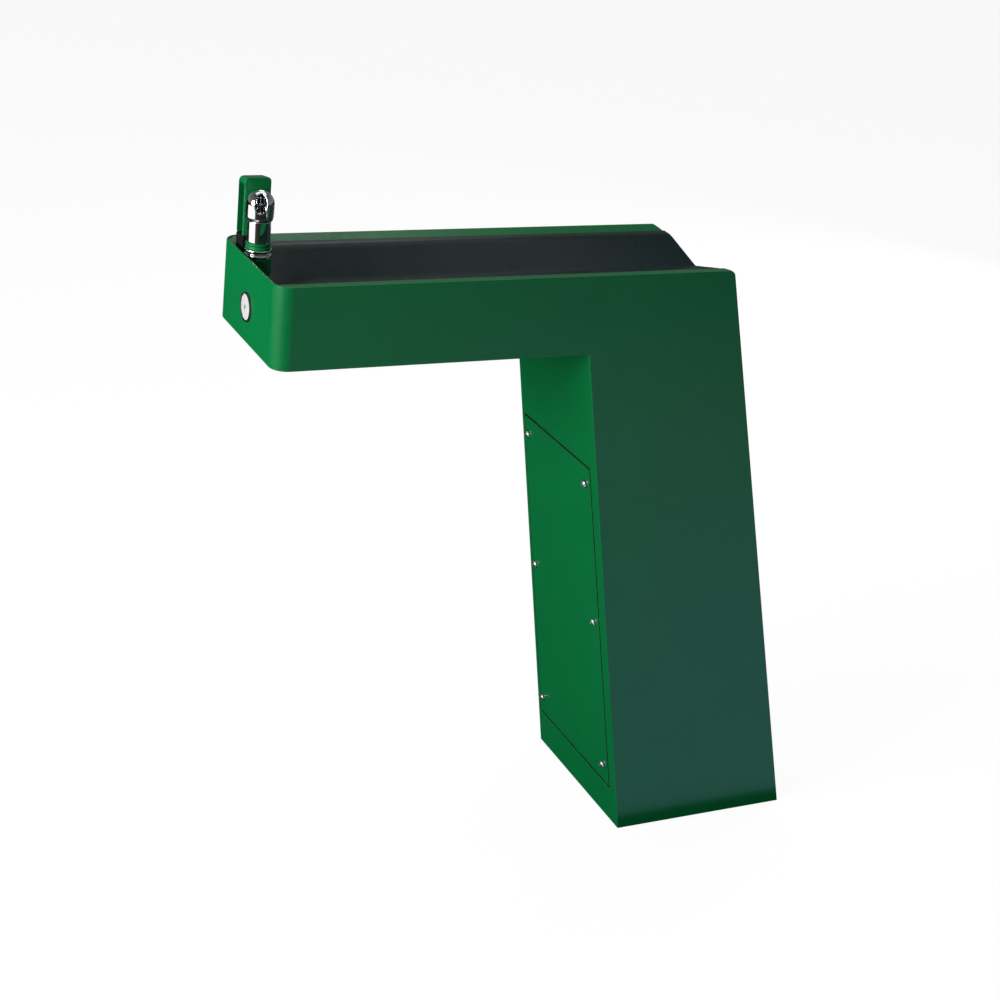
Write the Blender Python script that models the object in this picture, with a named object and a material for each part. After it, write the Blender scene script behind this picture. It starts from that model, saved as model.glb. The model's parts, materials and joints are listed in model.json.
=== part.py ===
"""Cantilevered drinking fountain: a sheet-metal arm with an open basin on a leaning pedestal.

Metres, +Z up.  The origin is the centre of the base plate's underside.  The user stands at -X,
the arm reaches towards them, and the pedestal leans back to +X.  "Right" and "left" are the
user's own, so the right side panel is at -Y and the left one at +Y.
"""
from math import atan2, cos, pi, radians, sin, sqrt, tan

import bmesh
import bpy
from mathutils import Matrix, Vector

MM = 0.001
GAP = 0.3 * MM

# Outline of the housing, seen from the side.
RIM_HEIGHT = 850 * MM
ARM_BOTTOM = 744 * MM
USER_END_X = -710 * MM
KNEE_X = -280 * MM
FOOT_FRONT_X = -140 * MM
FOOT_REAR_X = 140 * MM
REAR_TOP_X = -74 * MM
REAR_CORNER_RADIUS = 9 * MM

# Across the housing: the side panels stand a little further apart at the floor than at the rim.
RIM_HALF_WIDTH = 110 * MM
SIDE_LEAN = 21.0 / 850.0
END_CORNER_RADIUS = 22 * MM
SHEET = 2.5 * MM
UNDERSIDE_SHEET = 2 * MM

# Side flanges at the rim, and the basin: its left edge laps over the left flange, and its right
# edge is tucked under the right one.
FLANGE_SLOPE = tan(radians(11))
FLANGE_INNER_Y = 79 * MM
BASIN_EDGE_Y = 85 * MM
BASIN_SHOULDER_Y = 68 * MM
BASIN_RIM_Z = 847 * MM
TUCKED_EDGE_Y = 86 * MM
TUCKED_SHOULDER_Y = 70 * MM
TUCKED_Z = 841 * MM
BASIN_SHEET = 1.5 * MM
DRAIN_X = -570 * MM
DRAIN_FLOOR_Z = 807 * MM
DRAIN_FLAT_HALF = 28 * MM
END_VALLEY_Z = 812 * MM
END_FLAT_HALF = 6 * MM
REAR_VALLEY_Z = 822.5 * MM
REAR_FLAT_HALF = 1 * MM
BASIN_START_X = USER_END_X + SHEET + GAP

# Leg front: a window in the leaning sheet, with the access panel inside it.
LEG_SHEET = 3 * MM
PANEL_TOP_S = 176 * MM
PANEL_BOTTOM_S = 696 * MM
PANEL_LEFT_INSET = 7.5 * MM
PANEL_RIGHT_INSET = 22 * MM
PANEL_GAP = 2.4 * MM
PANEL_LEFT_GAP = 1.6 * MM
PANEL_RECESS = 0.5 * MM
PANEL_SHEET = 2 * MM
LEDGE_WIDTH = 18 * MM
LEDGE_SHEET = 2.5 * MM
SCREW_ROWS_S = (204 * MM, 423 * MM, 666 * MM)
SCREW_LEFT_INSET = 16.5 * MM
SCREW_RIGHT_INSET = 39.5 * MM
SCREW_HEAD_RADIUS = 5.2 * MM
SCREW_HEAD_HEIGHT = 4.4 * MM
SCREW_RADIUS = 2 * MM
SCREW_HOLE_RADIUS = 2.4 * MM

# Base.
BASE_PLATE_THICKNESS = 19 * MM
BASE_HALF_WIDTH = 127 * MM
BASE_FRONT_X = -135.5 * MM
BASE_REAR_X = 131 * MM
ANCHOR_X = 100 * MM
ANCHOR_Y = 98 * MM
ANCHOR_RADIUS = 6 * MM
WASTE_HOLE = Vector((62 * MM, 30 * MM, 0))
SUPPLY_HOLE = Vector((30 * MM, -40 * MM, 0))
UPRIGHT_TOP = 800 * MM
UPRIGHT_OUTER_Y = 78 * MM
UPRIGHT_WIDTH = 60 * MM
UPRIGHT_DEPTH = 10 * MM
GUSSET_Y = (62 * MM, 70 * MM)

# Bubbler: its hood's mouth faces across the basin, a little towards the user.
BUBBLER_X = -686 * MM
BUBBLER_Y = 38 * MM
MOUTH = Vector((-0.27, -0.96, 0)).normalized()
MOUTH_HALF_WIDTH = 8.2 * MM
MOUTH_HALF_HEIGHT = 12.2 * MM
MOUTH_Z = 913.5 * MM
HEAD_FOOT_Z = 890 * MM
HEAD_TOP_Z = 928 * MM
HEAD_RADIUS = 17.5 * MM
HEAD_WALL = 2 * MM
SHANK_FOOT_Z = 800 * MM
SHANK_SHOULDER_Z = 862.3 * MM
SHANK_RADIUS = 14.7 * MM
THREAD_RADIUS = 9.7 * MM
NECK_RADIUS = 8 * MM
COLLAR_Z = (854 * MM, 862 * MM)
COLLAR_RADIUS = 16 * MM
FLANGE_Z = (843 * MM, 853.7 * MM)
BOSS_TOP_Z = 842.7 * MM
BOSS_RADIUS = 17.3 * MM

# Guard behind the bubbler.
GUARD_X = (-700 * MM, -665 * MM)
GUARD_Y = (60 * MM, 85 * MM)
GUARD_TOP = 938 * MM
GUARD_TOP_REAR = 934 * MM
GUARD_PAD_TOP = 862 * MM
GUARD_FOOT_Z = GUARD_PAD_TOP + GAP
GUARD_CORNER_RADIUS = 6 * MM
GUARD_SHEET = 2 * MM

# Push button in the user's end, and the valve behind it.
BUTTON_Z = 790 * MM
BUTTON_FACE_X = USER_END_X - 2.4 * MM
BUTTON_RADIUS = 16.5 * MM
BUTTON_BOSS_LENGTH = 9 * MM
BUTTON_TRAVEL = 5 * MM
BEZEL_RADIUS = 19.4 * MM
SLEEVE_RADIUS = 17.6 * MM
STEM_RADIUS = 4 * MM
STEM_ENGAGED = 10 * MM
VALVE_FRONT_X = -690 * MM
VALVE_REAR_X = -650 * MM
VALVE_RADIUS = 14 * MM
VALVE_OUTLET_X = -664 * MM
NIPPLE_RADIUS = 8 * MM
NIPPLE_TIP_X = -636 * MM

# Stop valve on the supply, and the pipes.
STOP_Z = 140 * MM
STOP_REACH = 24 * MM
SPIGOT_RADIUS = 17 * MM
WASTE_PIPE_RADIUS = 12.7 * MM
SUPPLY_TUBE_RADIUS = 4.8 * MM
BUBBLER_TUBE_RADIUS = 3.4 * MM


# ---------------------------------------------------------------- helpers
def half_width(z):
    """Outer half-width of the housing at height z."""
    return RIM_HALF_WIDTH + SIDE_LEAN * (RIM_HEIGHT - z)


def rear_x(z):
    """Outer face of the rear at height z."""
    return FOOT_REAR_X + (REAR_TOP_X - FOOT_REAR_X) * z / RIM_HEIGHT


def material(name, colour, roughness, metallic):
    found = bpy.data.materials.get(name)
    if found:
        return found
    made = bpy.data.materials.new(name)
    made.use_nodes = True
    shader = made.node_tree.nodes["Principled BSDF"]
    shader.inputs["Base Color"].default_value = (*colour, 1)
    shader.inputs["Roughness"].default_value = roughness
    shader.inputs["Metallic"].default_value = metallic
    return made


def green_coat(name):
    return material(name + "_coat", (0.0, 0.19, 0.045), 0.35, 0.0)


def dark_coat(name):
    return material(name + "_coat", (0.012, 0.022, 0.022), 0.22, 0.0)


def chrome(name):
    return material(name + "_chrome", (0.8, 0.8, 0.82), 0.08, 1.0)


def steel(name):
    return material(name + "_steel", (0.45, 0.46, 0.47), 0.4, 1.0)


def brass(name):
    return material(name + "_brass", (0.62, 0.45, 0.18), 0.3, 1.0)


def rubber(name):
    return material(name + "_rubber", (0.02, 0.02, 0.02), 0.8, 0.0)


def plastic(name, colour):
    return material(name + "_plastic", colour, 0.45, 0.0)


def mesh_object(name, vertices, faces, coat):
    mesh = bpy.data.meshes.new(name)
    mesh.from_pydata([tuple(v) for v in vertices], [], faces)
    work = bmesh.new()
    work.from_mesh(mesh)
    bmesh.ops.recalc_face_normals(work, faces=work.faces)
    if work.calc_volume(signed=True) < 0:
        bmesh.ops.reverse_faces(work, faces=work.faces)
    work.to_mesh(mesh)
    work.free()
    obj = bpy.data.objects.new(name, mesh)
    bpy.context.scene.collection.objects.link(obj)
    obj.data.materials.append(coat)
    return obj


def loft(name, rings, coat, twisted=False):
    """Closed solid through loops of equal length, with flat ends.  A twisted skin is split into
    triangles whose diagonals run the same way on both sides of a sheet."""
    count = len(rings[0])
    vertices = [point for ring in rings for point in ring]
    faces = [tuple(range(count)), tuple(range(len(vertices) - count, len(vertices)))]
    for k in range(len(rings) - 1):
        for i in range(count):
            a, b = k * count + i, k * count + (i + 1) % count
            c, d = b + count, a + count
            if not twisted:
                faces.append((a, b, c, d))
            elif abs(vertices[a][1]) > abs(vertices[b][1]):
                faces += [(a, b, c), (a, c, d)]
            else:
                faces += [(a, b, d), (b, c, d)]
    return mesh_object(name, vertices, faces, coat)


def turned(name, profile, origin, axis, coat, sides=24, flats=()):
    """Solid of revolution.  profile is (radius, height) pairs; a ring profile closes on itself,
    and one that starts and ends at radius 0 closes at its poles.  flats lists the profile points
    whose circle becomes a hexagon of that radius across its flats."""
    solid = profile[0][0] == 0
    vertices, rings = [], []
    for index, (radius, height) in enumerate(profile):
        if radius == 0:
            vertices.append((0, 0, height))
            rings.append([len(vertices) - 1] * sides)
            continue
        ring = []
        for k in range(sides):
            angle = 2 * pi * k / sides
            reach = radius
            if index in flats:
                reach = radius / cos((angle + pi / 6) % (pi / 3) - pi / 6)
            ring.append(len(vertices))
            vertices.append((reach * cos(angle), reach * sin(angle), height))
        rings.append(ring)
    faces = []
    pairs = list(zip(rings, rings[1:]))
    if not solid:
        pairs.append((rings[-1], rings[0]))
    for lower, upper in pairs:
        for k in range(sides):
            n = (k + 1) % sides
            corners = dict.fromkeys((lower[k], lower[n], upper[n], upper[k]))
            if len(corners) > 2:
                faces.append(tuple(corners))
    obj = mesh_object(name, vertices, faces, coat)
    turn = Vector(axis).to_track_quat("Z", "Y").to_matrix().to_4x4()
    obj.matrix_world = Matrix.Translation(origin) @ turn
    obj.data.shade_smooth()
    obj.data.set_sharp_from_angle(angle=radians(35))
    return obj


def hide_tool(obj):
    obj.hide_render = True
    obj.display_type = "WIRE"


def combine(obj, tools, operation):
    for tool in tools:
        step = obj.modifiers.new(operation.lower() + "_" + tool.name, "BOOLEAN")
        step.operation = operation
        step.solver = "EXACT"
        step.object = tool
        hide_tool(tool)


def drill(obj, name, origin, axis, radius, depth, sides=16):
    """Round hole of the given radius, from depth behind origin to depth ahead of it."""
    rod = [(0, -depth), (radius, -depth), (radius, depth), (0, depth)]
    tool = turned(name, rod, origin, axis, steel("tool"), sides)
    combine(obj, [tool], "DIFFERENCE")


def smooth_path(points, step):
    """Points along a Catmull-Rom curve through the given ones, about one step apart."""
    points = [Vector(p) * MM for p in points]
    ends = [2 * points[0] - points[1]] + points + [2 * points[-1] - points[-2]]
    path = [points[0]]
    for a, b, c, d in zip(ends, ends[1:], ends[2:], ends[3:]):
        pieces = max(1, round((c - b).length / step))
        for k in range(1, pieces + 1):
            t = k / pieces
            even = 2 * b + (c - a) * t + (2 * a - 5 * b + 4 * c - d) * t**2
            path.append(0.5 * (even + (3 * b - 3 * c + d - a) * t**3))
    return path


def tube(name, points, radius, coat, resolution=2, step=3.0):
    """Round tube or pipe of the given radius along a smooth path; step is in diameters."""
    path = smooth_path(points, step * 2 * radius)
    curve = bpy.data.curves.new(name, "CURVE")
    curve.dimensions = "3D"
    spline = curve.splines.new("POLY")
    spline.points.add(len(path) - 1)
    for point, place in zip(spline.points, path):
        point.co = (*place, 1)
    curve.bevel_depth = radius
    curve.bevel_resolution = resolution
    curve.use_fill_caps = True
    curve.materials.append(coat)
    obj = bpy.data.objects.new(name, curve)
    bpy.context.scene.collection.objects.link(obj)
    return obj


def arc(centre, radius, start, end, pieces):
    """Points of an arc in a plane, angles in degrees."""
    angles = [radians(start + (end - start) * k / pieces) for k in range(pieces + 1)]
    return [(centre[0] + radius * cos(a), centre[1] + radius * sin(a)) for a in angles]


# ---------------------------------------------------------------- housing
def rear_top_arc():
    """Rounded corner between the rear edge and the rim, in the XZ plane."""
    rake = atan2(REAR_TOP_X - FOOT_REAR_X, RIM_HEIGHT)
    reach = REAR_CORNER_RADIUS * tan((pi / 2 + rake) / 2)
    centre = (REAR_TOP_X - reach, RIM_HEIGHT - REAR_CORNER_RADIUS)
    rear_normal = -rake * 180 / pi
    return arc(centre, REAR_CORNER_RADIUS, rear_normal, 90, 5)


def side_panel(name, side):
    start_x = USER_END_X + END_CORNER_RADIUS + GAP
    outline = [(start_x, ARM_BOTTOM), (KNEE_X, ARM_BOTTOM), (FOOT_FRONT_X, 0), (FOOT_REAR_X, 0)]
    outline += rear_top_arc()
    outline.append((start_x, RIM_HEIGHT))
    outer, inner = [], []
    for x, z in outline:
        drop = SHEET * FLANGE_SLOPE if z > RIM_HEIGHT - 0.5 * MM else 0
        outer.append((x, side * half_width(z), z))
        inner.append((x, side * (half_width(z) - SHEET), z - drop))
    panel = loft(name, [outer, inner], green_coat(name))
    combine(panel, [rim_flange(name + "_flange", side, start_x)], "UNION")
    return panel


def rim_flange(name, side, start_x):
    """Strip that slopes down from the rim towards the basin and fills the rounded end corner."""
    outer_y = RIM_HALF_WIDTH - SHEET / 2
    end_x = REAR_TOP_X - 3.5 * MM
    corner = (USER_END_X + END_CORNER_RADIUS, RIM_HALF_WIDTH - END_CORNER_RADIUS)
    plan = [(end_x, outer_y), (start_x, outer_y)]
    plan += arc(corner, END_CORNER_RADIUS - SHEET - GAP, 90, 180, 6)
    plan += [(USER_END_X + SHEET + GAP, FLANGE_INNER_Y), (end_x, FLANGE_INNER_Y)]
    top, under = [], []
    for x, y in plan:
        z = RIM_HEIGHT - 0.1 * MM - (RIM_HALF_WIDTH - y) * FLANGE_SLOPE
        top.append((x, side * y, z))
        under.append((x, side * y, z - SHEET))
    return loft(name, [top, under], green_coat("flange"))


def end_panel():
    """The user's end of the arm: a flat face with rounded vertical corners, open behind."""
    inner_radius = END_CORNER_RADIUS - SHEET
    rings = []
    for z in (ARM_BOTTOM, RIM_HEIGHT):
        corner_x = USER_END_X + END_CORNER_RADIUS
        corner_y = half_width(z) - END_CORNER_RADIUS
        outer = arc((corner_x, corner_y), END_CORNER_RADIUS, 90, 180, 8)
        inner = arc((corner_x, corner_y), inner_radius, 180, 90, 8)
        ring = outer + [(x, -y) for x, y in reversed(outer)]
        ring += [(x, -y) for x, y in reversed(inner)] + inner
        rings.append([(x, y, z) for x, y in ring])
    panel = loft("end_panel", rings, green_coat("end_panel"))
    centre = (USER_END_X, 0, BUTTON_Z)
    drill(panel, "button_hole", centre, (1, 0, 0), 17.9 * MM, 8 * MM, 32)
    return panel


def arm_underside():
    """Plate that closes the arm from below, between the side panels."""
    rings = []
    radius = END_CORNER_RADIUS - SHEET - GAP
    for z in (ARM_BOTTOM, ARM_BOTTOM + UNDERSIDE_SHEET):
        corner = (USER_END_X + END_CORNER_RADIUS, half_width(z) - END_CORNER_RADIUS)
        side = arc(corner, radius, 180, 90, 6)
        side.append((KNEE_X - 1.2 * MM, half_width(z) - SHEET - GAP))
        ring = side + [(x, -y) for x, y in reversed(side)]
        rings.append([(x, y, z) for x, y in ring])
    return loft("arm_underside_panel", rings, green_coat("arm_underside_panel"))


# ---------------------------------------------------------------- leg front
LEG_SLOPE = Vector((FOOT_FRONT_X - KNEE_X, 0, -ARM_BOTTOM)).normalized()
LEG_INWARD = Vector((-LEG_SLOPE.z, 0, LEG_SLOPE.x))
LEG_LENGTH = sqrt((FOOT_FRONT_X - KNEE_X) ** 2 + ARM_BOTTOM**2)


def on_leg_front(s, y, depth):
    """Point s down the leg front from the knee, y across, depth behind its outer face."""
    return Vector((KNEE_X, y, ARM_BOTTOM)) + LEG_SLOPE * s + LEG_INWARD * depth


def leg_half_width(s):
    return half_width(ARM_BOTTOM + LEG_SLOPE.z * s)


def leg_plate(name, s_top, s_bottom, left_inset, right_inset, depths, coat):
    """Plate in the leg's front plane; its sides follow the housing's width at the given insets."""
    rings = []
    for depth in depths:
        ring = []
        for s, side, inset in (
            (s_top, 1, left_inset),
            (s_top, -1, right_inset),
            (s_bottom, -1, right_inset),
            (s_bottom, 1, left_inset),
        ):
            ring.append(on_leg_front(s, side * (leg_half_width(s) - inset), depth))
        rings.append(ring)
    return loft(name, rings, coat)


def screw_places():
    for s in SCREW_ROWS_S:
        yield s, leg_half_width(s) - SCREW_LEFT_INSET
        yield s, -(leg_half_width(s) - SCREW_RIGHT_INSET)


def leg_front_frame():
    """Leg front sheet with its window and the ledge that the access panel screws to."""
    coat = green_coat("leg_front_frame")
    inset = SHEET + GAP
    frame = leg_plate(
        "leg_front_frame", -2.5 * MM, LEG_LENGTH, inset, inset, (0, LEG_SHEET), coat
    )
    gap = PANEL_GAP
    window = leg_plate(
        "panel_window",
        PANEL_TOP_S - gap,
        PANEL_BOTTOM_S + gap,
        PANEL_LEFT_INSET - PANEL_LEFT_GAP,
        PANEL_RIGHT_INSET - gap,
        (-5 * MM, 10 * MM),
        coat,
    )
    ledge_front = PANEL_RECESS + PANEL_SHEET + GAP - 0.1 * MM
    ledge = leg_plate(
        "panel_ledge",
        PANEL_TOP_S - 10 * MM,
        PANEL_BOTTOM_S + 10 * MM,
        inset + 1 * MM,
        PANEL_RIGHT_INSET - 10 * MM,
        (ledge_front, ledge_front + LEDGE_SHEET),
        coat,
    )
    inside = leg_plate(
        "ledge_opening",
        PANEL_TOP_S + LEDGE_WIDTH * 2,
        PANEL_BOTTOM_S - LEDGE_WIDTH * 2,
        PANEL_LEFT_INSET + LEDGE_WIDTH,
        SCREW_RIGHT_INSET + 9 * MM,
        (-5 * MM, 20 * MM),
        coat,
    )
    combine(frame, [window], "DIFFERENCE")
    combine(frame, [ledge], "UNION")
    combine(frame, [inside], "DIFFERENCE")
    for k, (s, y) in enumerate(screw_places(), 1):
        place = on_leg_front(s, y, 0)
        drill(frame, f"ledge_hole_{k}", place, LEG_INWARD, SCREW_HOLE_RADIUS, 9 * MM, 12)
    return frame


def access_panel():
    panel = leg_plate(
        "access_panel",
        PANEL_TOP_S,
        PANEL_BOTTOM_S,
        PANEL_LEFT_INSET,
        PANEL_RIGHT_INSET,
        (PANEL_RECESS, PANEL_RECESS + PANEL_SHEET),
        green_coat("access_panel"),
    )
    for k, (s, y) in enumerate(screw_places(), 1):
        place = on_leg_front(s, y, 0)
        drill(panel, f"panel_hole_{k}", place, LEG_INWARD, SCREW_HOLE_RADIUS, 9 * MM, 12)
    return panel


def panel_screws():
    """Button-head screws through the access panel into the tapped ledge."""
    under_head = PANEL_RECESS - GAP
    radius, height = SCREW_HEAD_RADIUS, SCREW_HEAD_HEIGHT
    dome = [(radius * cos(radians(a)), height * sin(radians(a))) for a in (25, 50, 70)]
    for k, (s, y) in enumerate(screw_places(), 1):
        screw = [(0, -9 * MM), (SCREW_RADIUS, -9 * MM), (SCREW_RADIUS, 0), (radius, 0)]
        screw += dome + [(0, height)]
        origin = on_leg_front(s, y, under_head)
        turned(f"panel_screw_{k}", screw, origin, -LEG_INWARD, steel(f"panel_screw_{k}"), 16)


# ---------------------------------------------------------------- rear
REAR_UP = Vector((REAR_TOP_X - FOOT_REAR_X, 0, RIM_HEIGHT)).normalized()
REAR_INWARD = Vector((-REAR_UP.z, 0, REAR_UP.x))


def on_rear(y, z, depth):
    return Vector((rear_x(z), y, z)) + REAR_INWARD * depth


def rear_panel():
    """Leaning rear sheet whose top edge follows the basin from below."""
    foot = 0.8 * MM
    foot_y = half_width(foot) - SHEET - GAP
    outline = [(0, REAR_VALLEY_Z - BASIN_SHEET - 1.2 * MM)]
    for side, shoulder, top in (
        (-1, TUCKED_SHOULDER_Y, TUCKED_Z - 2.5 * MM),
        (1, BASIN_SHOULDER_Y, BASIN_RIM_Z - 5 * MM),
    ):
        edge = [(shoulder, top), (half_width(top) - SHEET - GAP, top), (foot_y, foot)]
        outline += [(side * y, z) for y, z in edge[::-side]]
    rings = [[on_rear(y, z, depth) for y, z in outline] for depth in (0, LEG_SHEET)]
    return loft("rear_panel", rings, green_coat("rear_panel"))


# ---------------------------------------------------------------- basin
def basin_half(valley, flat, shoulder, edge, rim):
    """Half cross-section of the basin's upper surface, from its middle out to its edge."""
    run = shoulder - flat
    rise = rim - valley
    points = [(0, valley), (flat, valley)]
    for share in (0.35, 0.7, 0.93):
        points.append((flat + run * share, valley + rise * share))
    points.append((shoulder + 2.5 * MM, rim - 0.3 * MM))
    points.append((shoulder + 6 * MM, rim))
    points.append((edge, rim))
    return points


def basin_section(valley, flat):
    """Cross-section of the basin's upper surface from its left edge to its right one."""
    left = basin_half(valley, flat, BASIN_SHOULDER_Y, BASIN_EDGE_Y, BASIN_RIM_Z)
    right = basin_half(valley, flat, TUCKED_SHOULDER_Y, TUCKED_EDGE_Y, TUCKED_Z)
    return left[::-1] + [(-y, z) for y, z in right[1:]]


# Stretches of the basin: (start x, valley, half flat) to (end x, valley, half flat), pieces.
BEFORE_DRAIN = (
    (BASIN_START_X, END_VALLEY_Z, END_FLAT_HALF),
    (DRAIN_X - DRAIN_FLAT_HALF, DRAIN_FLOOR_Z, DRAIN_FLAT_HALF),
    4,
)
AT_DRAIN = (
    (DRAIN_X - DRAIN_FLAT_HALF, DRAIN_FLOOR_Z, DRAIN_FLAT_HALF),
    (DRAIN_X + DRAIN_FLAT_HALF, DRAIN_FLOOR_Z, DRAIN_FLAT_HALF),
    1,
)
AFTER_DRAIN = (
    (DRAIN_X + DRAIN_FLAT_HALF, DRAIN_FLOOR_Z, DRAIN_FLAT_HALF),
    (None, REAR_VALLEY_Z, REAR_FLAT_HALF),
    5,
)


def basin_upper_lines(stretch):
    """Cross-sections of the basin's upper surface along one stretch, each from +Y to -Y.
    An end x of None is the housing's leaning rear."""
    (x0, valley0, flat0), (x1, valley1, flat1), pieces = stretch
    for k in range(pieces + 1):
        share = k / pieces
        valley = valley0 + (valley1 - valley0) * share
        line = []
        for y, z in basin_section(valley, flat0 + (flat1 - flat0) * share):
            end_x = rear_x(z) if x1 is None else x1
            line.append((x0 + (end_x - x0) * share, y, z))
        yield line


def basin():
    """Sloping trough with an upstand at the user's end, open at the rear, and a drain hole."""
    lines = list(basin_upper_lines(BEFORE_DRAIN))
    lines += list(basin_upper_lines(AT_DRAIN))[1:]
    lines += list(basin_upper_lines(AFTER_DRAIN))[1:]
    rings = []
    for line in lines:
        lower = [(x, y, z - BASIN_SHEET) for x, y, z in reversed(line)]
        rings.append(line + lower)
    coat = dark_coat("basin")
    body = loft("basin", rings, coat, twisted=True)
    sunk = 0.6 * MM
    wall = []
    for x in (BASIN_START_X + 0.1 * MM, BASIN_START_X + BASIN_SHEET):
        outline = [(BASIN_SHOULDER_Y - 1 * MM, BASIN_RIM_Z - sunk)]
        outline.append((END_FLAT_HALF, END_VALLEY_Z - sunk))
        outline.append((-END_FLAT_HALF, END_VALLEY_Z - sunk))
        outline.append((1 * MM - TUCKED_SHOULDER_Y, TUCKED_Z - sunk))
        wall.append([(x, y, z) for y, z in outline])
    upstand = loft("basin_upstand", wall, coat)
    combine(body, [upstand], "UNION")
    drill(body, "drain_hole", (DRAIN_X, 0, DRAIN_FLOOR_Z), (0, 0, 1), 17.5 * MM, 12 * MM, 24)
    place = (BUBBLER_X, BUBBLER_Y, 830 * MM)
    drill(body, "bubbler_hole", place, (0, 0, 1), 10.5 * MM, 20 * MM, 24)
    return body


# ---------------------------------------------------------------- bubbler and guard
def guard_outline(inset, low, top):
    """The guard's outline in the XZ plane, drawn in by inset."""
    x0, x1 = GUARD_X
    radius = GUARD_CORNER_RADIUS
    outline = [(x1 - inset, low)]
    outline += arc((x1 - radius, top - radius), radius - inset, 0, 90, 5)
    outline += arc((x0 + radius, top - radius), radius - inset, 90, 180, 5)
    outline.append((x0 + inset, low))
    return outline


def bubbler_guard():
    """Folded sheet guard behind the bubbler, open at its foot and towards the user; its top falls
    away to the rear."""
    coat = green_coat("bubbler_guard")
    wall = GUARD_SHEET
    near, far = GUARD_Y
    rings, hollow_rings = [], []
    for top, y, inner_y in (
        (GUARD_TOP, near, near + wall),
        (GUARD_TOP_REAR, far, far - wall),
    ):
        rings.append([(x, y, z) for x, z in guard_outline(0, GUARD_FOOT_Z, top)])
        inside = guard_outline(wall, GUARD_FOOT_Z - 5 * MM, top)
        hollow_rings.append([(x, inner_y, z) for x, z in inside])
    guard = loft("bubbler_guard", rings, coat)
    x0 = GUARD_X[0]
    low, high = GUARD_FOOT_Z - 5 * MM, GUARD_TOP_REAR - GUARD_CORNER_RADIUS
    mouth = [(x0 - wall, low), (x0 + 2 * wall, low), (x0 + 2 * wall, high), (x0 - wall, high)]
    mouth_rings = [[(x, y, z) for x, z in mouth] for y in (near + wall, far - wall)]
    hollow = loft("guard_hollow", hollow_rings, coat)
    combine(guard, [hollow, loft("guard_mouth", mouth_rings, coat)], "DIFFERENCE")
    return guard


def guard_pad():
    """Rubber pad that the guard stands on, on the basin's left margin."""
    (x0, x1), (near, far) = GUARD_X, GUARD_Y
    corners = [(x0, near), (x1, near), (x1, far), (x0, far)]
    rings = [[(x, y, z) for x, y in corners] for z in (BASIN_RIM_Z + GAP, GUARD_PAD_TOP)]
    return loft("guard_pad", rings, rubber("guard_pad"))


def on_bubbler(z):
    return Vector((BUBBLER_X, BUBBLER_Y, z))


def bubbler_head():
    """Hood over the nozzle: a domed cup with a wide oval mouth in its side."""
    height = HEAD_TOP_Z - HEAD_FOOT_Z
    straight = height - HEAD_RADIUS
    outer = [(14.9 * MM, 0), (HEAD_RADIUS, 4 * MM)]
    inner = []
    for degrees in range(0, 90, 15):
        across, up = cos(radians(degrees)), sin(radians(degrees))
        outer.append((HEAD_RADIUS * across, straight + HEAD_RADIUS * up))
        cup = HEAD_RADIUS - HEAD_WALL
        inner.insert(0, (cup * across, straight + cup * up))
    outer.append((0, height))
    inner.insert(0, (0, height - HEAD_WALL))
    bore = NECK_RADIUS + GAP
    inner += [(HEAD_RADIUS - HEAD_WALL, 5 * MM), (bore, 3 * MM), (bore, 0)]
    coat = chrome("bubbler_head")
    head = turned("bubbler_head", outer + inner, on_bubbler(HEAD_FOOT_Z), (0, 0, 1), coat)
    across = MOUTH.cross(Vector((0, 0, 1)))
    rings = []
    for reach in (6 * MM, 30 * MM):
        centre = on_bubbler(MOUTH_Z) + MOUTH * reach
        ring = []
        for k in range(24):
            angle = 2 * pi * k / 24
            sideways = across * (MOUTH_HALF_WIDTH * cos(angle))
            ring.append(centre + sideways + Vector((0, 0, MOUTH_HALF_HEIGHT * sin(angle))))
        rings.append(ring)
    combine(head, [loft("hood_mouth", rings, coat)], "DIFFERENCE")
    return head


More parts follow.
